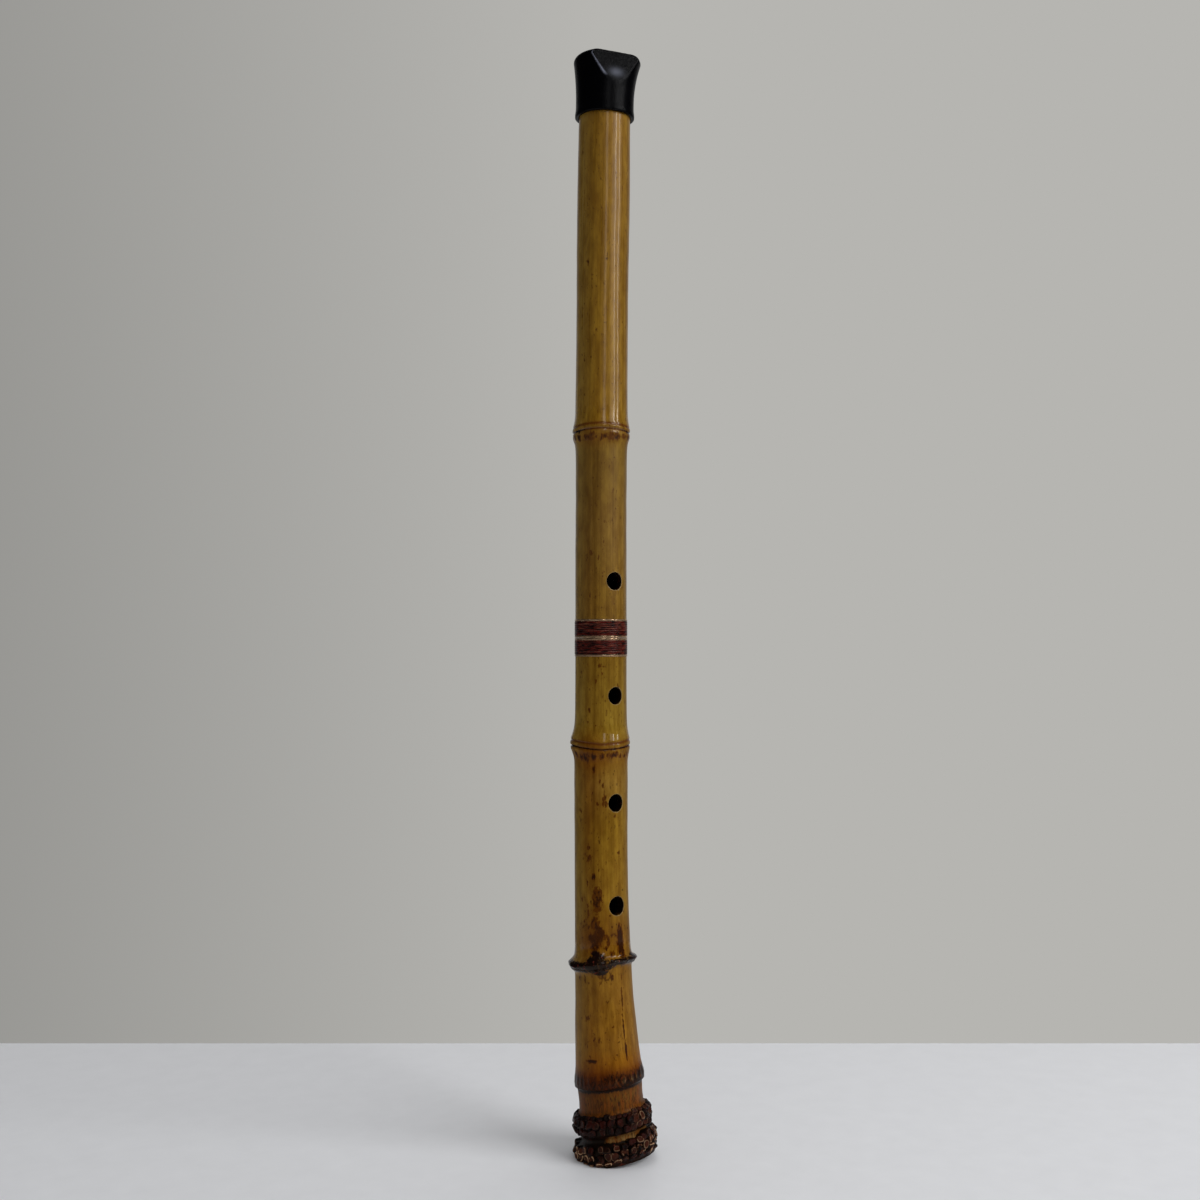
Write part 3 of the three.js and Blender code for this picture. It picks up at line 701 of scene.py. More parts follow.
# Marks on the culm: (turn, height, width, tallness, depth)
stains = [
    (-12, 478.1, 1.4, 3.4, 0.8), (-49, 486.6, 1.4, 2.6, 0.6), (-34, 517.1, 1.2, 5, 0.5),
    (-24, 508.8, 1.2, 4, 0.5), (9, 367.5, 2.2, 2.2, 0.6), (7, 355.2, 0.7, 6.5, 0.75),
    (-22, 349.8, 2, 3.2, 0.95), (-5, 346.8, 1.2, 2.2, 0.7), (4, 337.1, 1, 3.2, 0.5),
    (-24, 325.4, 1.3, 3, 0.6), (-2, 285.2, 2, 2.6, 1), (7, 284, 1.8, 1.5, 0.75), (2, 280, 1.2, 1.6, 0.7),
    (-11, 275.9, 1.2, 4, 0.6), (-27, 259, 1.8, 2.6, 0.95), (-11, 250.2, 1.1, 1.8, 0.8),
    (29, 254.1, 0.8, 1.1, 0.9), (-30, 252, 1, 1.6, 0.6), (-15, 225.3, 1.8, 3.8, 1.3),
    (-2, 218.1, 1.5, 2.6, 1), (4, 215.7, 1.4, 2.4, 1.1), (16, 223.7, 0.8, 1.2, 0.8),
    (7, 208.6, 2.4, 4.2, 1.15), (8, 205.4, 4, 3.6, 0.95), (-8, 205.5, 1.1, 2.4, 0.85),
    (31, 198.4, 1.6, 3, 1), (-50, 201.3, 1.8, 3, 0.6), (-8, 188.2, 0.8, 1, 1), (59, 187.9, 0.9, 1.4, 1),
    (-28, 180.3, 1.8, 2.6, 0.9), (-27, 174.2, 2.8, 4.6, 0.75), (40, 176.7, 1.6, 1.6, 1.2),
    (-8, 170.1, 0.9, 1, 1.3), (-6, 167.3, 1.1, 1.2, 1.3), (-16, 163.2, 1.8, 3.6, 1.2),
    (-31, 160.5, 1.4, 5.4, 0.75), (-10, 150.4, 6.2, 13.5, 1), (17, 140.8, 1.2, 1.6, 1.1),
    (-13, 136.5, 4.5, 8, 1.05), (-6, 130.5, 6, 6.5, 1), (8, 128.8, 3.6, 3.6, 0.95),
    (7, 122.5, 1.6, 2.4, 1), (40, 125, 3.9, 18, 1.7), (37, 131.5, 2, 9, 1.2), (45, 118.5, 2.4, 6, 1.2),
    (12, 125, 2.2, 5, 0.9), (-39, 137.8, 1.2, 1.6, 0.9), (-14, 124, 5.5, 6, 1.1), (20, 119, 2.4, 5, 0.85),
    (-24, 128, 2.2, 8, 0.8), (-30, 145, 1.4, 7, 0.7), (-44, 150, 1.2, 3, 0.6), (19, 106.1, 1.4, 2, 0.8),
    (13, 108.1, 0.9, 1.1, 0.8), (-7, 101.6, 1.6, 5, 0.55), (-35, 82.3, 2.4, 3, 0.6),
    (14, 76.9, 0.8, 2, 0.8), (-12, 70.5, 1.2, 4.4, 0.55), (-32, 61.2, 1.5, 1.2, 0.9),
    (-28, 58.5, 5.2, 1.4, 1.6), (36, 62.5, 0.95, 10, 1.6), (35, 76, 0.8, 13, 1.3), (37, 92, 1, 14, 1.15),
    (38, 104, 1.3, 5, 0.8), (37, 57.4, 1.2, 1.6, 0.9), (100, 250, 2, 3, 0.8), (140, 190, 3, 6, 0.8),
    (-160, 165, 4, 7, 0.8), (-110, 140, 3, 5, 0.9), (170, 128, 5, 6, 0.9), (110, 96, 2, 4, 0.7),
    (-130, 72, 3, 2, 0.9), (150, 355, 2, 3, 0.8), (-140, 450, 2, 5, 0.6), (120, 560, 2, 4, 0.5),
    (-120, 320, 1.5, 3, 0.8), (95, 215, 1.5, 3, 0.9),
]
darkStreaks = [(-14, 119.5, 5, 3.6, 1), (150, 122, 2, 9, 0.8), (-50, 419.2, 2, 2.4, 0.9)]
budRows = [
    {"height": 416.6, "count": 20, "seed": 4, "dense": (-60, 50), "size": (2.3, 3.9)},
    {"height": 232.8, "count": 24, "seed": 9, "dense": (-70, 60), "size": (2.2, 3.6)},
]


def budMarks():
    marks = []
    for row in budRows:
        draw = random.Random(row["seed"])
        places = [360 * i / row["count"] - 180 + draw.uniform(-4, 4) for i in range(row["count"])]
        low, high = row["dense"]
        places += [draw.uniform(low, high) for _ in range(5)]
        for turn in places:
            size = draw.uniform(*row["size"])
            deep = draw.uniform(0.8, 1.2) if low < turn < high else draw.uniform(0.5, 0.9)
            height = row["height"] + draw.uniform(-0.9, 0.9)
            marks.append((turn, height, size, size * draw.uniform(0.9, 1.5), deep))
    return marks


def painted(turns, h, marks, radius=15.5):
    total = np.zeros(len(turns))
    for turn, height, width, tall, deep in marks:
        across = np.radians(wrapped(turns - turn)) * radius / (width / 2)
        up = (h - height) / (tall / 2)
        total = np.maximum(total, deep * np.clip(1.55 - np.sqrt(across**2 + up**2), 0, 1))
    return total


# How the culm is coloured: tables round it or over its height, and bells of (size, middle, width)
dressing = {
    "warmTurn": [
        (-120, 0.1), (-75, 0), (-52, 0.25), (-30, 0.5), (0, 0.28), (22, 0.05), (45, 0), (90, 0),
        (150, 0.2),
    ],
    "warmHeight": [
        (20, 1.3), (40, 1.3), (60, 0.9), (100, 0.3), (120, 0.8), (210, 1.3), (240, 1.2), (250, 0.9),
        (400, 0.9), (426, 0.3),
    ],
    "warmBells": [(0.35, 232, 7), (0.35, 416, 5)],
    # Painted reflection of the wall, paler along the culm's left edge, and painted shade, darker along its
    # right edge
    "bloomBells": [(0.48, -66, 27), (-0.3, 78, 24)],
    "bloomHeight": [(50, 0), (60, 0.7), (104, 0.7), (120, 1)],
    "scorchTurn": [(-75, 0.3), (-45, 0.7), (-15, 1), (12, 1), (30, 0.4), (60, 0.4), (150, 1)],
    "specks": [
        (40, 0.25), (110, 0.3), (120, 0.9), (190, 0.6), (240, 0.45), (260, 0.3), (340, 0.2), (430, 0.05),
    ],
    "dull": [
        (52, 0.1), (60, 0.5), (100, 0.45), (120, 0.3), (300, 0.45), (400, 0.5), (415, 0.45), (424, 0),
    ],
    "dullBells": [(-0.6, 428, 5), (-1.2, 246, 5), (-1.2, 120, 4)],
    "upperGloss": [(0.35, 428, 5)], "lowerGloss": [(0.6, 244.5, 4), (0.75, 119.5, 4)],
}
# The root's lip, with faint upright bars over it where roots would have grown
lip = {
    "bars": 30, "barSize": 0.26,
    "darkTurn": [(-120, 0.6), (-75, 0.75), (-40, 0.2), (0, 0.35), (30, 0.6), (75, 1), (120, 0.8)],
}


def dressLip(turns, h):
    angles = np.radians(turns)
    bars = np.sin(angles * lip["bars"] + 1.3 * np.sin(3 * angles + 1) + 0.9 * np.sin(7 * angles))
    bars = np.clip(bars, -0.2, 1) * rise(h, 43.6, 45.2) * rise(h, 50, 47.5)
    raised = np.clip(bars, 0, 1)
    edge = 0.6 * np.sin(angles * 5 + 1) + 0.5 * np.sin(angles * 11)
    dark = rise(h - edge, 53, 48) * rise(h, 40.6, 41.1)
    dark *= 0.46 + 0.4 * roundTable(turns, lip["darkTurn"]) - 0.2 * raised
    # A painted highlight on the raised bars at the right of the lip
    pale = 0.4 * raised * bell(turns - 40, 26) * bell(h - 45.6, 1.6)
    return lip["barSize"] * bars, np.maximum(dark, 1.1 * bell(h - 41.4, 1.3)), pale


def dressCulm(mesh, radiusAt, lower):
    points = placesOf(mesh)
    turns, h = turnOf(points), points[:, 2]
    radii = np.hypot(points[:, 0], points[:, 1])
    depth = radiusAt(h) - radii
    outside = depth < 2
    calm = rise(np.abs(h - seam), 11, 17) * rise(h, 604, 596)
    swell = ripple(turns, h, 3, 0.10, 70) + ripple(turns, h, 11, 0.035, 14)
    char, line, pale = np.zeros((3, len(points)))
    for node in plainNodes:
        shape, black, brown = plainNodeShape(turns, h, node)
        swell += shape
        char, line = np.maximum(char, black), np.maximum(line, brown)
    buds = painted(turns, h, budMarks())
    swell += 0.18 * np.clip(buds, 0, 1)

    warm = bells(h, dressing["warmBells"])
    warm += roundTable(turns, dressing["warmTurn"]) * tableAt(h, dressing["warmHeight"])
    # Painted reflection at the left edge and painted shade at the right edge
    bloom = bells(turns, dressing["bloomBells"]) * tableAt(h, dressing["bloomHeight"])
    dull = tableAt(h, dressing["dull"]) + 0.7 * rise(h, 43.5, 41.5)
    dull += bells(h, dressing["dullBells"])
    gloss = bells(h, dressing["lowerGloss" if lower else "upperGloss"])
    scorch = np.zeros(len(points))
    if lower:
        scorch = bell(h - 129, 9) * roundTable(turns, dressing["scorchTurn"])
        scorch = np.maximum(scorch, 0.75 * bell(h - 106, 4))
        scorch = (scorch + 0.35 * bell(h - 165, 30) * bell(turns + 40, 40)) * outside
        shape, black = burntNodeShape(turns, h)
        bars, dark, pale = dressLip(turns, h)
        swell += shape + bars
        # The bands behind the stubs are painted black, and the recess between them on the left is black as
        # painted shade
        bands = rise(h, 12.5, 11) + rise(h, 15, 16) * rise(h, 27.8, 26.8)
        bands += rise(h, 9, 11) * rise(h, 17, 15.5) * rise(turns, -8, -22)
        char = np.maximum.reduce([char, black, dark, 1.2 * np.clip(bands, 0, 1)])
        gloss += 0.12 * black
        warm += 0.35 * bell(h - 128, 10) * (0.3 + np.clip(-np.sin(np.radians(turns)), 0, 1))

    newRadii = np.where(outside, radiusAt(h) + swell * calm - depth, radii)
    points[:, :2] *= (newRadii / radii)[:, None]
    setPlaces(mesh, points)
    char = np.maximum(char * calm, painted(turns, h, darkStreaks))
    char = np.maximum(char, 1.3 * rise(depth, 0.3, 0.45))
    # A painted highlight round the rounded rims of the holes
    rim = 0.8 * bell(depth - 0.16, 0.14) * (depth > 0.01) * calm
    stain = np.maximum(painted(turns, h, stains), buds) * calm
    keepNumbers(
        mesh, char=np.where(outside, char, 1.3), rim=np.where(outside, np.maximum(rim, pale), 0),
        stain=np.where(outside, stain, 0), line=np.clip(line, 0, 1), warm=warm, bloom=bloom,
        scorch=scorch, specks=tableAt(h, dressing["specks"]), dull=dull, gloss=gloss,
    )


# The two sections. The rows near an end are pressed together, up to where the floor cuts the bent
# foot, or down under the slanting cut of the blowing edge

blade = {"inner": 7.8, "outer": 14.8, "drop": 12, "pressedFrom": 618}


def bladeDepth(y):
    return np.maximum(-y - blade["inner"], 0) * blade["drop"] / (blade["outer"] - blade["inner"])


def pressRows(points, start, edge, target):
    share = (points[:, 2] - start) / (edge - start)
    points[:, 2] = np.where(share > 0, start + share * (target - start), points[:, 2])
    return points


def settleOnFloor(points):
    low, along = flute["foot"], points[:, :2] @ bendSide
    floor = np.full(len(points), low)
    for _ in range(4):
        floor = np.maximum(low, leanAt(floor) * along)
    return pressRows(points, flute["pressedTo"], low, floor)


def underBevel(points):
    return pressRows(points, blade["pressedFrom"], length, length - bladeDepth(points[:, 1]))


def boreAt(height):
    return float(tableAt(height, culm["bore"]))


def zonesOf(holes):
    return [(hole[0], holeGrid["rows"] * holeGrid["rowStep"], holeGrid["rowStep"]) for hole in holes]


def tubeMesh(name, profile, holes, outer, inner, edge, press):
    bm = turnedShape(profile, flute["columns"])
    for hole in holes:
        cutHole(bm, hole, outer, inner, edge)
    mesh = meshFrom(bm, name)
    setPlaces(mesh, press(placesOf(mesh)))
    return mesh


sections = {
    "lower": {"press": settleOnFloor, "span": (flute["foot"], socket["floor"])},
    "upper": {"press": underBevel, "span": (socket["tenonTop"], length)},
}
for side, section in sections.items():
    lower = side == "lower"
    holes, hollow, floor = culm[side + "Holes"], culm[side + "Hollow"], culm["grooveFloor"]
    radius = smoothRadius(culm[side + "Outline"])
    start, end = (flute["foot"], lowerGroove) if lower else (upperGroove + groove, length)
    rows = rowsBetween(start, end, culm[side + "Step"], zonesOf(holes) + culm[side + "Zones"])
    face = [(float(radius(h)), h) for h in rows]
    inner = [(hollow, h) for h in rowsBetween(*section["span"], culm["hollowStep"], zonesOf(holes))]
    if lower:
        parting = seam - stack
        outer = [(float(r), start) for r in np.linspace(*culm["footRadii"], 9)] + face
        outer += [(floor, lowerGroove), (floor, parting)]
        inner += [(socket["radius"], socket["floor"]), (socket["radius"], parting)]
    else:
        outer = [(floor, upperGroove), (floor, start)] + face + [(r, end) for r in culm["mouthRadii"]]
        inner = [(socket["tenonSeat"], h) for h in (upperGroove, socket["tenonTop"])] + inner
    mesh = tubeMesh(
        side + "Culm", outer + inner[::-1], holes,
        (lambda h: float(radius(h)), holeGrid["outer"]), (lambda h: hollow, holeGrid["hollow"]),
        holeGrid["edge"], section["press"],
    )
    dressCulm(mesh, radius, lower)
    addBentPiece(mesh, side + "_section", [side + "_bamboo"], side + "Culm")
    print(side, "culm made", len(mesh.polygons))

# The linings of the bore
lining = {"gap": 0.03, "tight": 0.1, "rowStep": 8}
for side, section in sections.items():
    holes, radius = culm[side + "Holes"], culm[side + "Hollow"] - lining["gap"]
    rows = rowsBetween(*section["span"], lining["rowStep"], zonesOf(holes))
    top = rows[-1]
    profile = [(radius, h) for h in rows] + [((radius + boreAt(top)) / 2, top)]
    profile += [(boreAt(h), h) for h in rows[::-1]]
    narrower = [(h, wide - lining["tight"], tall - lining["tight"], way) for h, wide, tall, way in holes]
    mesh = tubeMesh(
        side + "Lining", profile, narrower,
        (lambda h: radius, holeGrid["hollow"]), (boreAt, holeGrid["bore"]), 0, section["press"],
    )
    addBentPiece(mesh, side + "_section", [side + "_bore_lining"], "lining")

# The horn wedge of the blowing edge, a hair proud of the bamboo that it is let into
horn = {"depth": 9.5, "topWidth": 15.0, "footWidth": 10.0, "proud": 0.04}
bm = bmesh.new()
bmesh.ops.create_cube(bm, size=2)
bmesh.ops.subdivide_edges(bm, edges=bm.edges[:], cuts=11, use_grid_fill=True)
mesh = meshFrom(bm, "hornInlay")
points = placesOf(mesh)
deep, up = (points[:, 1] + 1) / 2, (points[:, 2] + 1) / 2
x = points[:, 0] * (horn["footWidth"] + (horn["topWidth"] - horn["footWidth"]) * up) / 2
z = length - horn["depth"] * (1 - up)
bore, face = tableAt(z, culm["bore"]) - horn["proud"], blade["outer"] + horn["proud"]
y = -(np.sqrt(bore**2 - x**2) * deep + np.sqrt(face**2 - x**2) * (1 - deep))
setPlaces(mesh, np.stack([x, y, z - bladeDepth(y) * up + horn["proud"]], 1))
addBentPiece(mesh, "upper_section", ["mouthpiece_inlay"], "horn", 30)
print("linings and inlay made")


# The middle joint

def addTurned(name, profile, body, node, look, soft=0.2):
    # A turned piece with its sharp edges rounded
    bm = turnedShape(profile, 128)
    bmesh.ops.recalc_face_normals(bm, faces=bm.faces[:])
    sharp = [e for e in bm.edges if len(e.link_faces) == 2 and e.calc_face_angle() > radians(50)]
    bmesh.ops.bevel(bm, geom=sharp, offset=soft, segments=3, profile=0.5, affect="EDGES", material=-1)
    addBentPiece(meshFrom(bm, name), body, [node], look)


fit = {
    # (radius, height) round the section of the tenon and of the sleeve that it goes into
    "tenon": [
        (8.9, 275.7), (10.05, 275.7), (10.3, 276.6), (10.3, 296), (10.3, 310), (10.3, 325.6),
        (8.9, 325.6), (8.9, 300),
    ],
    "sleeve": [(10.45, 275.3), (11.72, 275.3), (11.72, 300.6), (10.45, 300.6), (10.45, 290)],
}
addTurned("tenon", fit["tenon"], "upper_section", "joint_tenon", "wood")
addTurned("socketSleeve", fit["sleeve"], "lower_section", "joint_socket", "wood")

# The rings: lower edge, tallness and inner radius, with a crowned face
ring = {"crown": 0.08, "endInner": 14.25, "soft": 0.22}
rings = [
    ("lower", "Face", seam - stack, joint["faceRing"], socket["radius"]),
    ("lower", "End", lowerGroove, joint["endRing"], ring["endInner"]),
    ("upper", "Face", upperGroove - joint["faceRing"], joint["faceRing"], socket["tenonSeat"]),
    ("upper", "End", upperGroove + joint["binding"], joint["endRing"], ring["endInner"]),
]
for side, kind, low, tall, inner in rings:
    high, outer = low + tall, joint["bandRadius"]
    profile = [(inner, low), (outer - ring["crown"], low), (outer, low + tall / 2)]
    profile += [(outer - ring["crown"], high), (inner, high)]
    node = f"{side}_{kind.lower()}_ring"
    addTurned(f"{side}{kind}Ring", profile, side + "_section", node, "ring", ring["soft"])

# The bindings: one strand each, wound close, its ends tucked in under the rings
# It is spun as a long spring, and then pressed together with a flat lap at each end
strand = {
    "turns": 7.5, "flat": 0.95, "steps": 96, "spring": 10.0,
    "width": 1.46, "height": 1.2, "sides": 16, "crest": 15.42, "inset": 0.02,
    "worn": (0.2, 0.9, 0.1, 1.0, 0.35, 0.0, 0.6, 0.1),       # how pale each lap's upper edge is painted, as a highlight
}


def bindingShape(name, low, high, seed):
    draw = random.Random(seed)
    turns, spring, wide = strand["turns"], strand["spring"], strand["width"]
    halfTall = strand["height"] / 2
    bm = bmesh.new()
    verts = []
    for i in range(strand["sides"]):
        angle = 2 * pi * i / strand["sides"]
        c, s = cos(angle), sin(angle)
        boxy = (abs(c) ** 4 + abs(s) ** 4) ** -0.25
        radius = strand["crest"] - halfTall + halfTall * c * boxy
        verts.append(bm.verts.new((0, radius, wide / 2 * s * boxy)))
    bmesh.ops.spin(
        bm, geom=[bm.faces.new(verts)], cent=(0, 0, 0), axis=(0, 0, 1), angle=2 * pi * turns,
        dvec=(0, 0, spring / strand["steps"]), steps=int(turns * strand["steps"]),
    )
    mesh = meshFrom(bm, name)
    points = placesOf(mesh)
    part = (np.arctan2(points[:, 1], points[:, 0]) / (2 * pi) - 0.25) % 1
    laps = part + np.round(points[:, 2] / spring - part)
    loose = rise(laps, 1, 2) * rise(laps, turns - 1, turns - 2)
    pick = draw.uniform
    wobble = 0.03 * sum(np.sin(laps * 6.28 * pick(0.7, 3.1) + pick(0, 6.28)) for _ in range(4))
    up = points[:, 2] - laps * spring
    worn = np.interp(laps + seed, np.arange(8 + seed), np.resize(strand["worn"], 8 + seed))
    climb = rise(laps, strand["flat"], turns - strand["flat"])
    heights = low + wide / 2 + up + climb * (high - low - wide) + wobble * loose
    points[:, 2] = np.clip(heights, low + strand["inset"], high - strand["inset"])
    setPlaces(mesh, points)
    # How far down into the crevice between laps, where shade is painted
    deep = rise(np.hypot(points[:, 0], points[:, 1]), strand["crest"], strand["crest"] - 1)
    # The painted highlight lies on each lap's upper side
    keepNumbers(mesh, worn=worn * rise(up / (wide / 2), 0.1, 0.6), strand=deep)
    return mesh


for side, low, seed in (("lower", lowerGroove + joint["endRing"], 2), ("upper", upperGroove, 6)):
    mesh = bindingShape(side + "Binding", low, low + joint["binding"], seed)
    addBentPiece(mesh, side + "_section", [side + "_binding"], "rattan", 60)
print("middle joint made")


# The root stubs: rings of carved ends, hollowed or raised in the middle

stub = {
    # height, tallness, width, count, radius, tilt, tone, seed, lift at the right, first and last turn
    "rings": [
        (24.2, 5.8, 5.0, 29, 23.4, 14, 0.06, 1, 0, -180, 180),
        (26.9, 3.7, 4.0, 35, 21.9, 40, 0.0, 7, 0, -180, 180),
        (18.8, 5.2, 4.9, 29, 23.3, -10, -0.02, 2, 0, -180, 180),
        (9.6, 4.6, 4.9, 31, 24.35, 22, 0.04, 3, 3.2, -180, 180),
        (5.0, 5.6, 5.1, 30, 24.5, -6, 0.12, 4, 3.2, -180, 180),
        (1.2, 5.0, 5.0, 29, 23.8, -42, 0.25, 5, 3.2, -180, 180),
        (1.0, 5.0, 4.9, 30, 23.7, -30, 0.05, 6, 0, 20, 145),
    ],
    # turn, height, width, tallness and gain of the places where the stubs are paler: their own tan low at
    # the left, and a painted highlight at the right, where the key light falls
    "bright": [
        (-58, 3, 26, 8, 0.85), (-22, 1.5, 14, 6, 0.8), (58, 8, 26, 9, 0.8), (50, 26, 26, 6, 0.45),
        (8, 7, 9, 5, 0.4),
    ],
    "sides": 14,
    # share of the way out to the edge, and how deep under the tip
    "section": [
        (0.16, 0.4), (0.34, 0.32), (0.5, 0.08), (0.68, 0), (0.84, 0.25), (0.97, 0.9), (1.06, 2.4),
        (1.06, 4.5),
    ],
}
bm = bmesh.new()
shareLayer, toneLayer = bm.verts.layers.float.new("share"), bm.verts.layers.float.new("tone")
lastShare, lastDepth = stub["section"][0]
bmesh.ops.create_circle(bm, cap_ends=True, segments=stub["sides"], radius=lastShare)
bmesh.ops.translate(bm, vec=(0, 0, -lastDepth), verts=bm.verts[:])
loop = bm.edges[:]
for v in bm.verts:
    v[shareLayer] = lastShare
for share, depth in stub["section"][1:]:
    loop, verts = pulledEdges(bm, loop)
    bmesh.ops.scale(bm, vec=(share / lastShare, share / lastShare, 1), verts=verts)
    bmesh.ops.translate(bm, vec=(0, 0, lastDepth - depth), verts=verts)
    for v in verts:
        v[shareLayer] = min(1, share)
    lastShare, lastDepth = share, depth
bmesh.ops.edgeloop_fill(bm, edges=loop)
pattern = bpy.data.meshes.new("stubPattern")
bm.to_mesh(pattern)
bm.clear()
up = Vector((0, 0, 1))
for level, tallness, width, count, radius, leaning, ownTone, seed, rightLift, first, last in stub["rings"]:
    draw = random.Random(seed)
    pick = draw.uniform
    for number in range(count):
        turn = 360 * (number + 0.5 * (seed % 2)) / count + pick(-2.5, 2.5) - 180
        if not first <= turn <= last:
            continue
        height = level + rightLift * bell(turn - 75, 50) + pick(-0.6, 0.6)
        out, side = outAndSide(turn + flute["photoSide"])
        tilt = radians(leaning + pick(-14, 14))
        swing = radians(pick(-14, 14))
        normal = (out * cos(tilt) + up * sin(tilt)) * cos(swing) + side * sin(swing)
        upward = up * cos(tilt) - out * sin(tilt)
        across = upward.cross(normal)
        middle = out * (radius + pick(-0.9, 0.15)) + up * height
        wide = width / 2 * pick(0.8, 1.15)
        tall = tallness / 2 * pick(0.82, 1.15)
        phases = [pick(0, 6.28) for _ in range(3)]
        hollow, slant, boxy = pick(-0.3, 1.6), pick(0, 0.55), pick(2.2, 3.6)
        tone = ownTone + draw.gauss(0, 0.2)
        # Paler stubs: their own tan low at the left, a painted highlight at the right
        for place, paleHeight, paleWide, paleTall, gain in stub["bright"]:
            near = bell(turn - place, paleWide) * bell(height - paleHeight, paleTall)
            tone += gain * near * pick(0.2, 1.6)
        before = len(bm.verts)
        bm.from_mesh(pattern)
        bm.verts.ensure_lookup_table()
        for v in bm.verts[before:]:
            x, y, z = v.co
            angle, share = atan2(y, x), hypot(x, y)
            c, s = cos(angle), sin(angle)
            grow = share * (1 + 0.09 * sin(2 * angle + phases[0]) + 0.07 * sin(3 * angle + phases[1]))
            grow *= (abs(c) ** boxy + abs(s) ** boxy) ** (-1 / boxy)
            depth = -z * (hollow if share < 0.6 else 1)
            depth += 0.45 * share**2 * (c * c + 0.8 * s * s) + slant * share * cos(angle + phases[2])
            v.co = middle + across * (wide * grow * c) + upward * (tall * grow * s) - normal * depth
            v[toneLayer] = min(1, max(0, tone))
mesh = meshFrom(bm, "rootStubs")
bpy.data.meshes.remove(pattern)
addBentPiece(mesh, "lower_section", [], "stub", 70)
print("root stubs made", len(mesh.polygons))


# The cap, in the mouth's own frame: origin on the bore's middle at the top, front along -y

cap = {
    "depth": 32.5, "cavity": 15.1, "wall": 1.8, "top": 1.6, "cavityTop": 0.3, "flareHeight": 25.0,
    "flare": 2.4, "corner": 3.2, "beak": 1.1, "turn": -11.0, "facetReach": 15.2, "facetDrop": 14.2,
    "rim": 0.4, "rimHeight": 4.2, "facetWall": 0.9,
}
capOuter = cap["cavity"] + cap["wall"]
edgeRadius = capOuter + cap["flare"]


def flareAt(height):
    return rise(height, cap["top"] - cap["flareHeight"], cap["top"] - cap["corner"]) ** 2


def capRadius(height):
    rim = cap["rim"] * bell((height + cap["depth"]) / cap["rimHeight"] - 0.35, 0.55)
    return capOuter + cap["flare"] * flareAt(height) + rim


def easedMin(first, second, soft):
    # The lesser of two values, with a rounded change from one to the other
    gap = np.clip(0.5 + (second - first) / (2 * soft), 0, 1)
    return second * (1 - gap) + first * gap - soft * gap * (1 - gap)


foot, top, corner = -cap["depth"], cap["top"], cap["corner"]
cavity, ceiling = cap["cavity"], cap["cavityTop"]
heights = [*np.linspace(foot + 0.5, foot + 6, 16), *np.linspace(-26, top - corner, 64)]
profile = [(cavity, foot + 0.25), (cavity + 0.25, foot), (capOuter - 0.3, foot)]
profile += [(float(capRadius(h)), h) for h in heights]
for turn in [radians(step * 90 / 8) for step in range(1, 9)]:
    profile.append((edgeRadius - corner * (1 - cos(turn)), top - corner * (1 - sin(turn))))
profile += [(float(r), top) for r in np.linspace(14.8, 1.2, 14)] + [(0.0, top)]
profile += [(0.0, ceiling), (7.4, ceiling), (14.6, ceiling), (cavity, ceiling - 0.5)]
profile += [(cavity, h) for h in np.linspace(-3, -29, 10)]
mesh = meshFrom(turnedShape(profile, 288), "mouthCap")
points = placesOf(mesh)
radii = np.maximum(np.hypot(points[:, 0], points[:, 1]), 1e-6)
isOuter = (radii > cavity + 0.26) | (points[:, 2] > ceiling + 0.6)
beak = cap["beak"] * cap["flare"] * flareAt(points[:, 2]) * (-points[:, 1] / radii) / edgeRadius
points[:, :2] *= (1 + np.where(isOuter, beak, 0))[:, None]

# The facet, with a painted highlight along its left crease and on a pad at its foot
slope = atan((capOuter - cap["facetReach"]) / cap["facetDrop"])
facetNormal = np.array([0, -cos(slope), sin(slope)])
out = (points - [0, -cap["facetReach"], top]) @ facetNormal + np.where(isOuter, 0, cap["facetWall"])
kept = np.where(isOuter, easedMin(out, 0, 0.6), np.minimum(out, 0))
below = top - points[:, 2]
crease = bell(out + 0.1, 0.22 + 0.01 * below) * (points[:, 0] < 0)
crease *= rise(below, 1, 3) * rise(below, 15, 13)
pad = bell(points[:, 0] - 0.2, 3.8) * bell(below - 12.0, 2.4) * (points[:, 1] < 0)
points -= (out - kept)[:, None] * facetNormal

# Turned on the mouth, and set where the bent culm ends
spin, lean = radians(cap["turn"]), atan(leanAt(length))
points = points @ np.array(Matrix.Rotation(spin, 3, "Z")).T
mouthUp = Vector((*(bendSide * sin(lean)), cos(lean)))
points = points @ np.array(up.rotation_difference(mouthUp).to_matrix()).T
points += [*(bowAt(length) * bendSide + flute["axis"]), length]
setPlaces(mesh, points * 0.001)
keepNumbers(mesh, wear=np.where(isOuter, np.maximum(0.75 * crease, 0.36 * pad), 0))
addPiece(mesh, "cap", ["mouth_cap"], "rubber", 50)
print("cap made")


# Table, light and camera

photo = {
    "azimuth": -33, "place": (-0.45121, -0.67923, 0.2995), "lens": 42, "shift": (-0.0008, 0.0333),
}
right, ahead = outAndSide(photo["azimuth"])

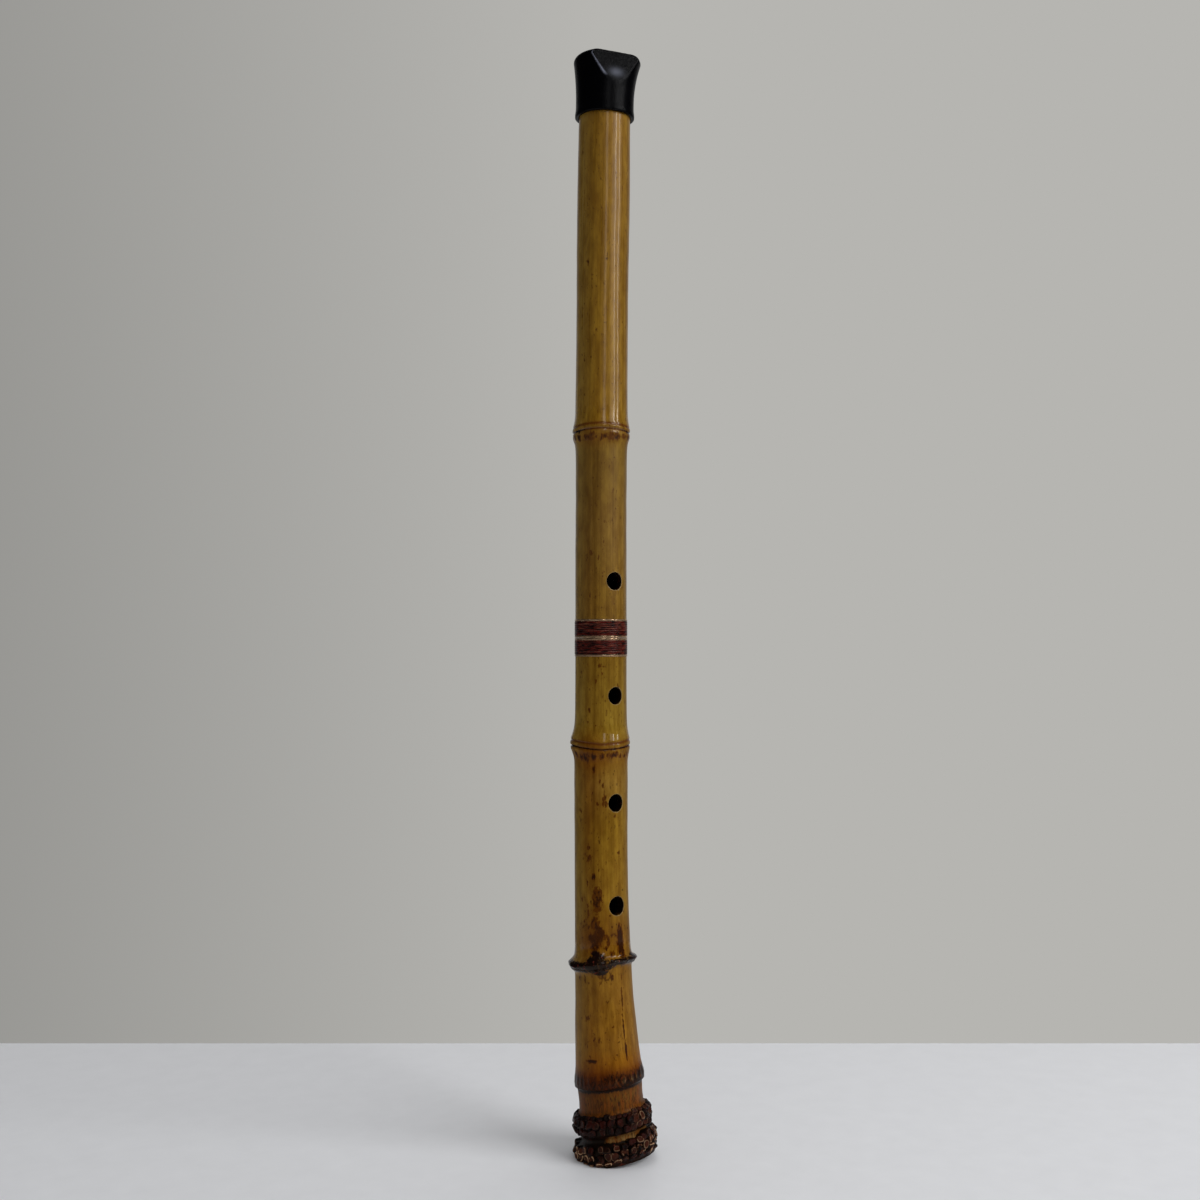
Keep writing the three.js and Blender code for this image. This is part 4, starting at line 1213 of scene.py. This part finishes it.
table = {"width": 1.9, "front": 0.75, "back": 0.2246, "thick": 0.03, "drop": 0.0001}
bm = bmesh.new()
bmesh.ops.create_cube(bm, size=1)
size = (table["width"], table["front"] + table["back"], table["thick"])
bmesh.ops.scale(bm, vec=size, verts=bm.verts[:])
shift = (0, (table["back"] - table["front"]) / 2, -table["thick"] / 2 - table["drop"])
bmesh.ops.translate(bm, vec=shift, verts=bm.verts[:])
bmesh.ops.rotate(bm, matrix=Matrix.Rotation(radians(photo["azimuth"]), 3, "Z"), verts=bm.verts[:])
mesh = meshFrom(bm, "tableTop")
tableTop = addObject("tableTop", mesh)
startMaterial("tableWhite")
white = mixOf(noiseOf(ownPlace(), 60, 4), "dcdde0", "e4e5e8")
mesh.materials.append(finishMaterial(white, 0.45))
tableTop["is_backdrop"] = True

# The camera sees a wall that is darker at the left, and mirrors see little of the room's light,
# apart from a pale field behind the flute
studio = {
    "wall": "b6b5b1", "wallLeft": 0.65, "leftEnd": -0.42,
    "ambient": 0.36, "mirrored": 0.02, "paleBehind": 0.4, "paleFrom": 0.55,
}
world = bpy.data.worlds.new("studio")
scene.world = world
world.use_nodes = True
making["tree"] = world.node_tree
world.node_tree.nodes.clear()
rays = addNode("LightPath", {}).outputs
generated = addNode("TexCoord", {}).outputs["Generated"]
toRight, toBack = [
    addNode("VectorMath", {0: generated, 1: tuple(way)}, operation="DOT_PRODUCT").outputs["Value"]
    for way in (right, ahead)
]
fall = rangeOf(toRight, studio["leftEnd"], 0, studio["wallLeft"])
wall = addNode("Background", {"Color": shade(studio["wall"]), "Strength": fall})
pale = stepOf(toBack, studio["paleFrom"], 1, studio["paleBehind"])
level = spread(rays["Is Glossy Ray"], studio["ambient"], studio["mirrored"])
glow = plus(level, times(pale, rays["Is Glossy Ray"]))
ambient = addNode("Background", {"Color": (1, 1, 1, 1), "Strength": glow})
seen = mathOf("MAXIMUM", rays["Is Camera Ray"], rays["Is Transmission Ray"])
mixed = addNode("MixShader", {0: seen, 1: ambient.outputs[0], 2: wall.outputs[0]})
addNode("OutputWorld", {"Surface": mixed.outputs[0]})


# Lights at a turn from the camera's side of the flute to its right, how far away and how high up,
# width, tallness and power. Each lights the surfaces, or only shows as a stripe of light on them
lights = {
    "key": (60, 1.85, 1.3, 1.4, 1.4, 36), "overhead": (165, 0.6, 1.9, 0.9, 0.9, 6),
    "sheen": (48, 1.7, 1.1, 0.7, 0.9, 2.6), "leftStreak": (54.6, 1.8, 1.25, 0.09, 1.2, 5),
    "rightStreak": (73.2, 1.8, 1.25, 0.1, 1.2, 5.2), "middleStreak": (13, 1.8, 1.1, 0.3, 0.9, 2.2),
    "ceiling": (22, 1.1, 2.0, 0.3, 0.3, 4),
}
for name, (turn, away, high, width, tall, power) in lights.items():
    light = bpy.data.lights.new(name, "AREA")
    light.shape, light.size, light.size_y, light.energy = "RECTANGLE", width, tall, power
    lamp = addObject(name, light)
    angle = radians(turn)
    lamp.location = (right * sin(angle) - ahead * cos(angle)) * away + up * high
    lamp.rotation_euler = (up * 0.32 - lamp.location).to_track_quat("-Z", "Y").to_euler()
    lamp.visible_diffuse = name in ("key", "overhead")
    lamp.visible_glossy = not lamp.visible_diffuse

camera = bpy.data.cameras.new("photoCamera")
camera.lens = photo["lens"]
camera.sensor_width = 36
camera.shift_x, camera.shift_y = photo["shift"]
cameraObject = addObject("photoCamera", camera)
cameraObject.location = photo["place"]
cameraObject.rotation_euler = (radians(90), 0, radians(photo["azimuth"]))
bpy.context.scene.camera = cameraObject
bpy.context.scene.view_settings.view_transform = "Standard"

low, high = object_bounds()
print("stage set")
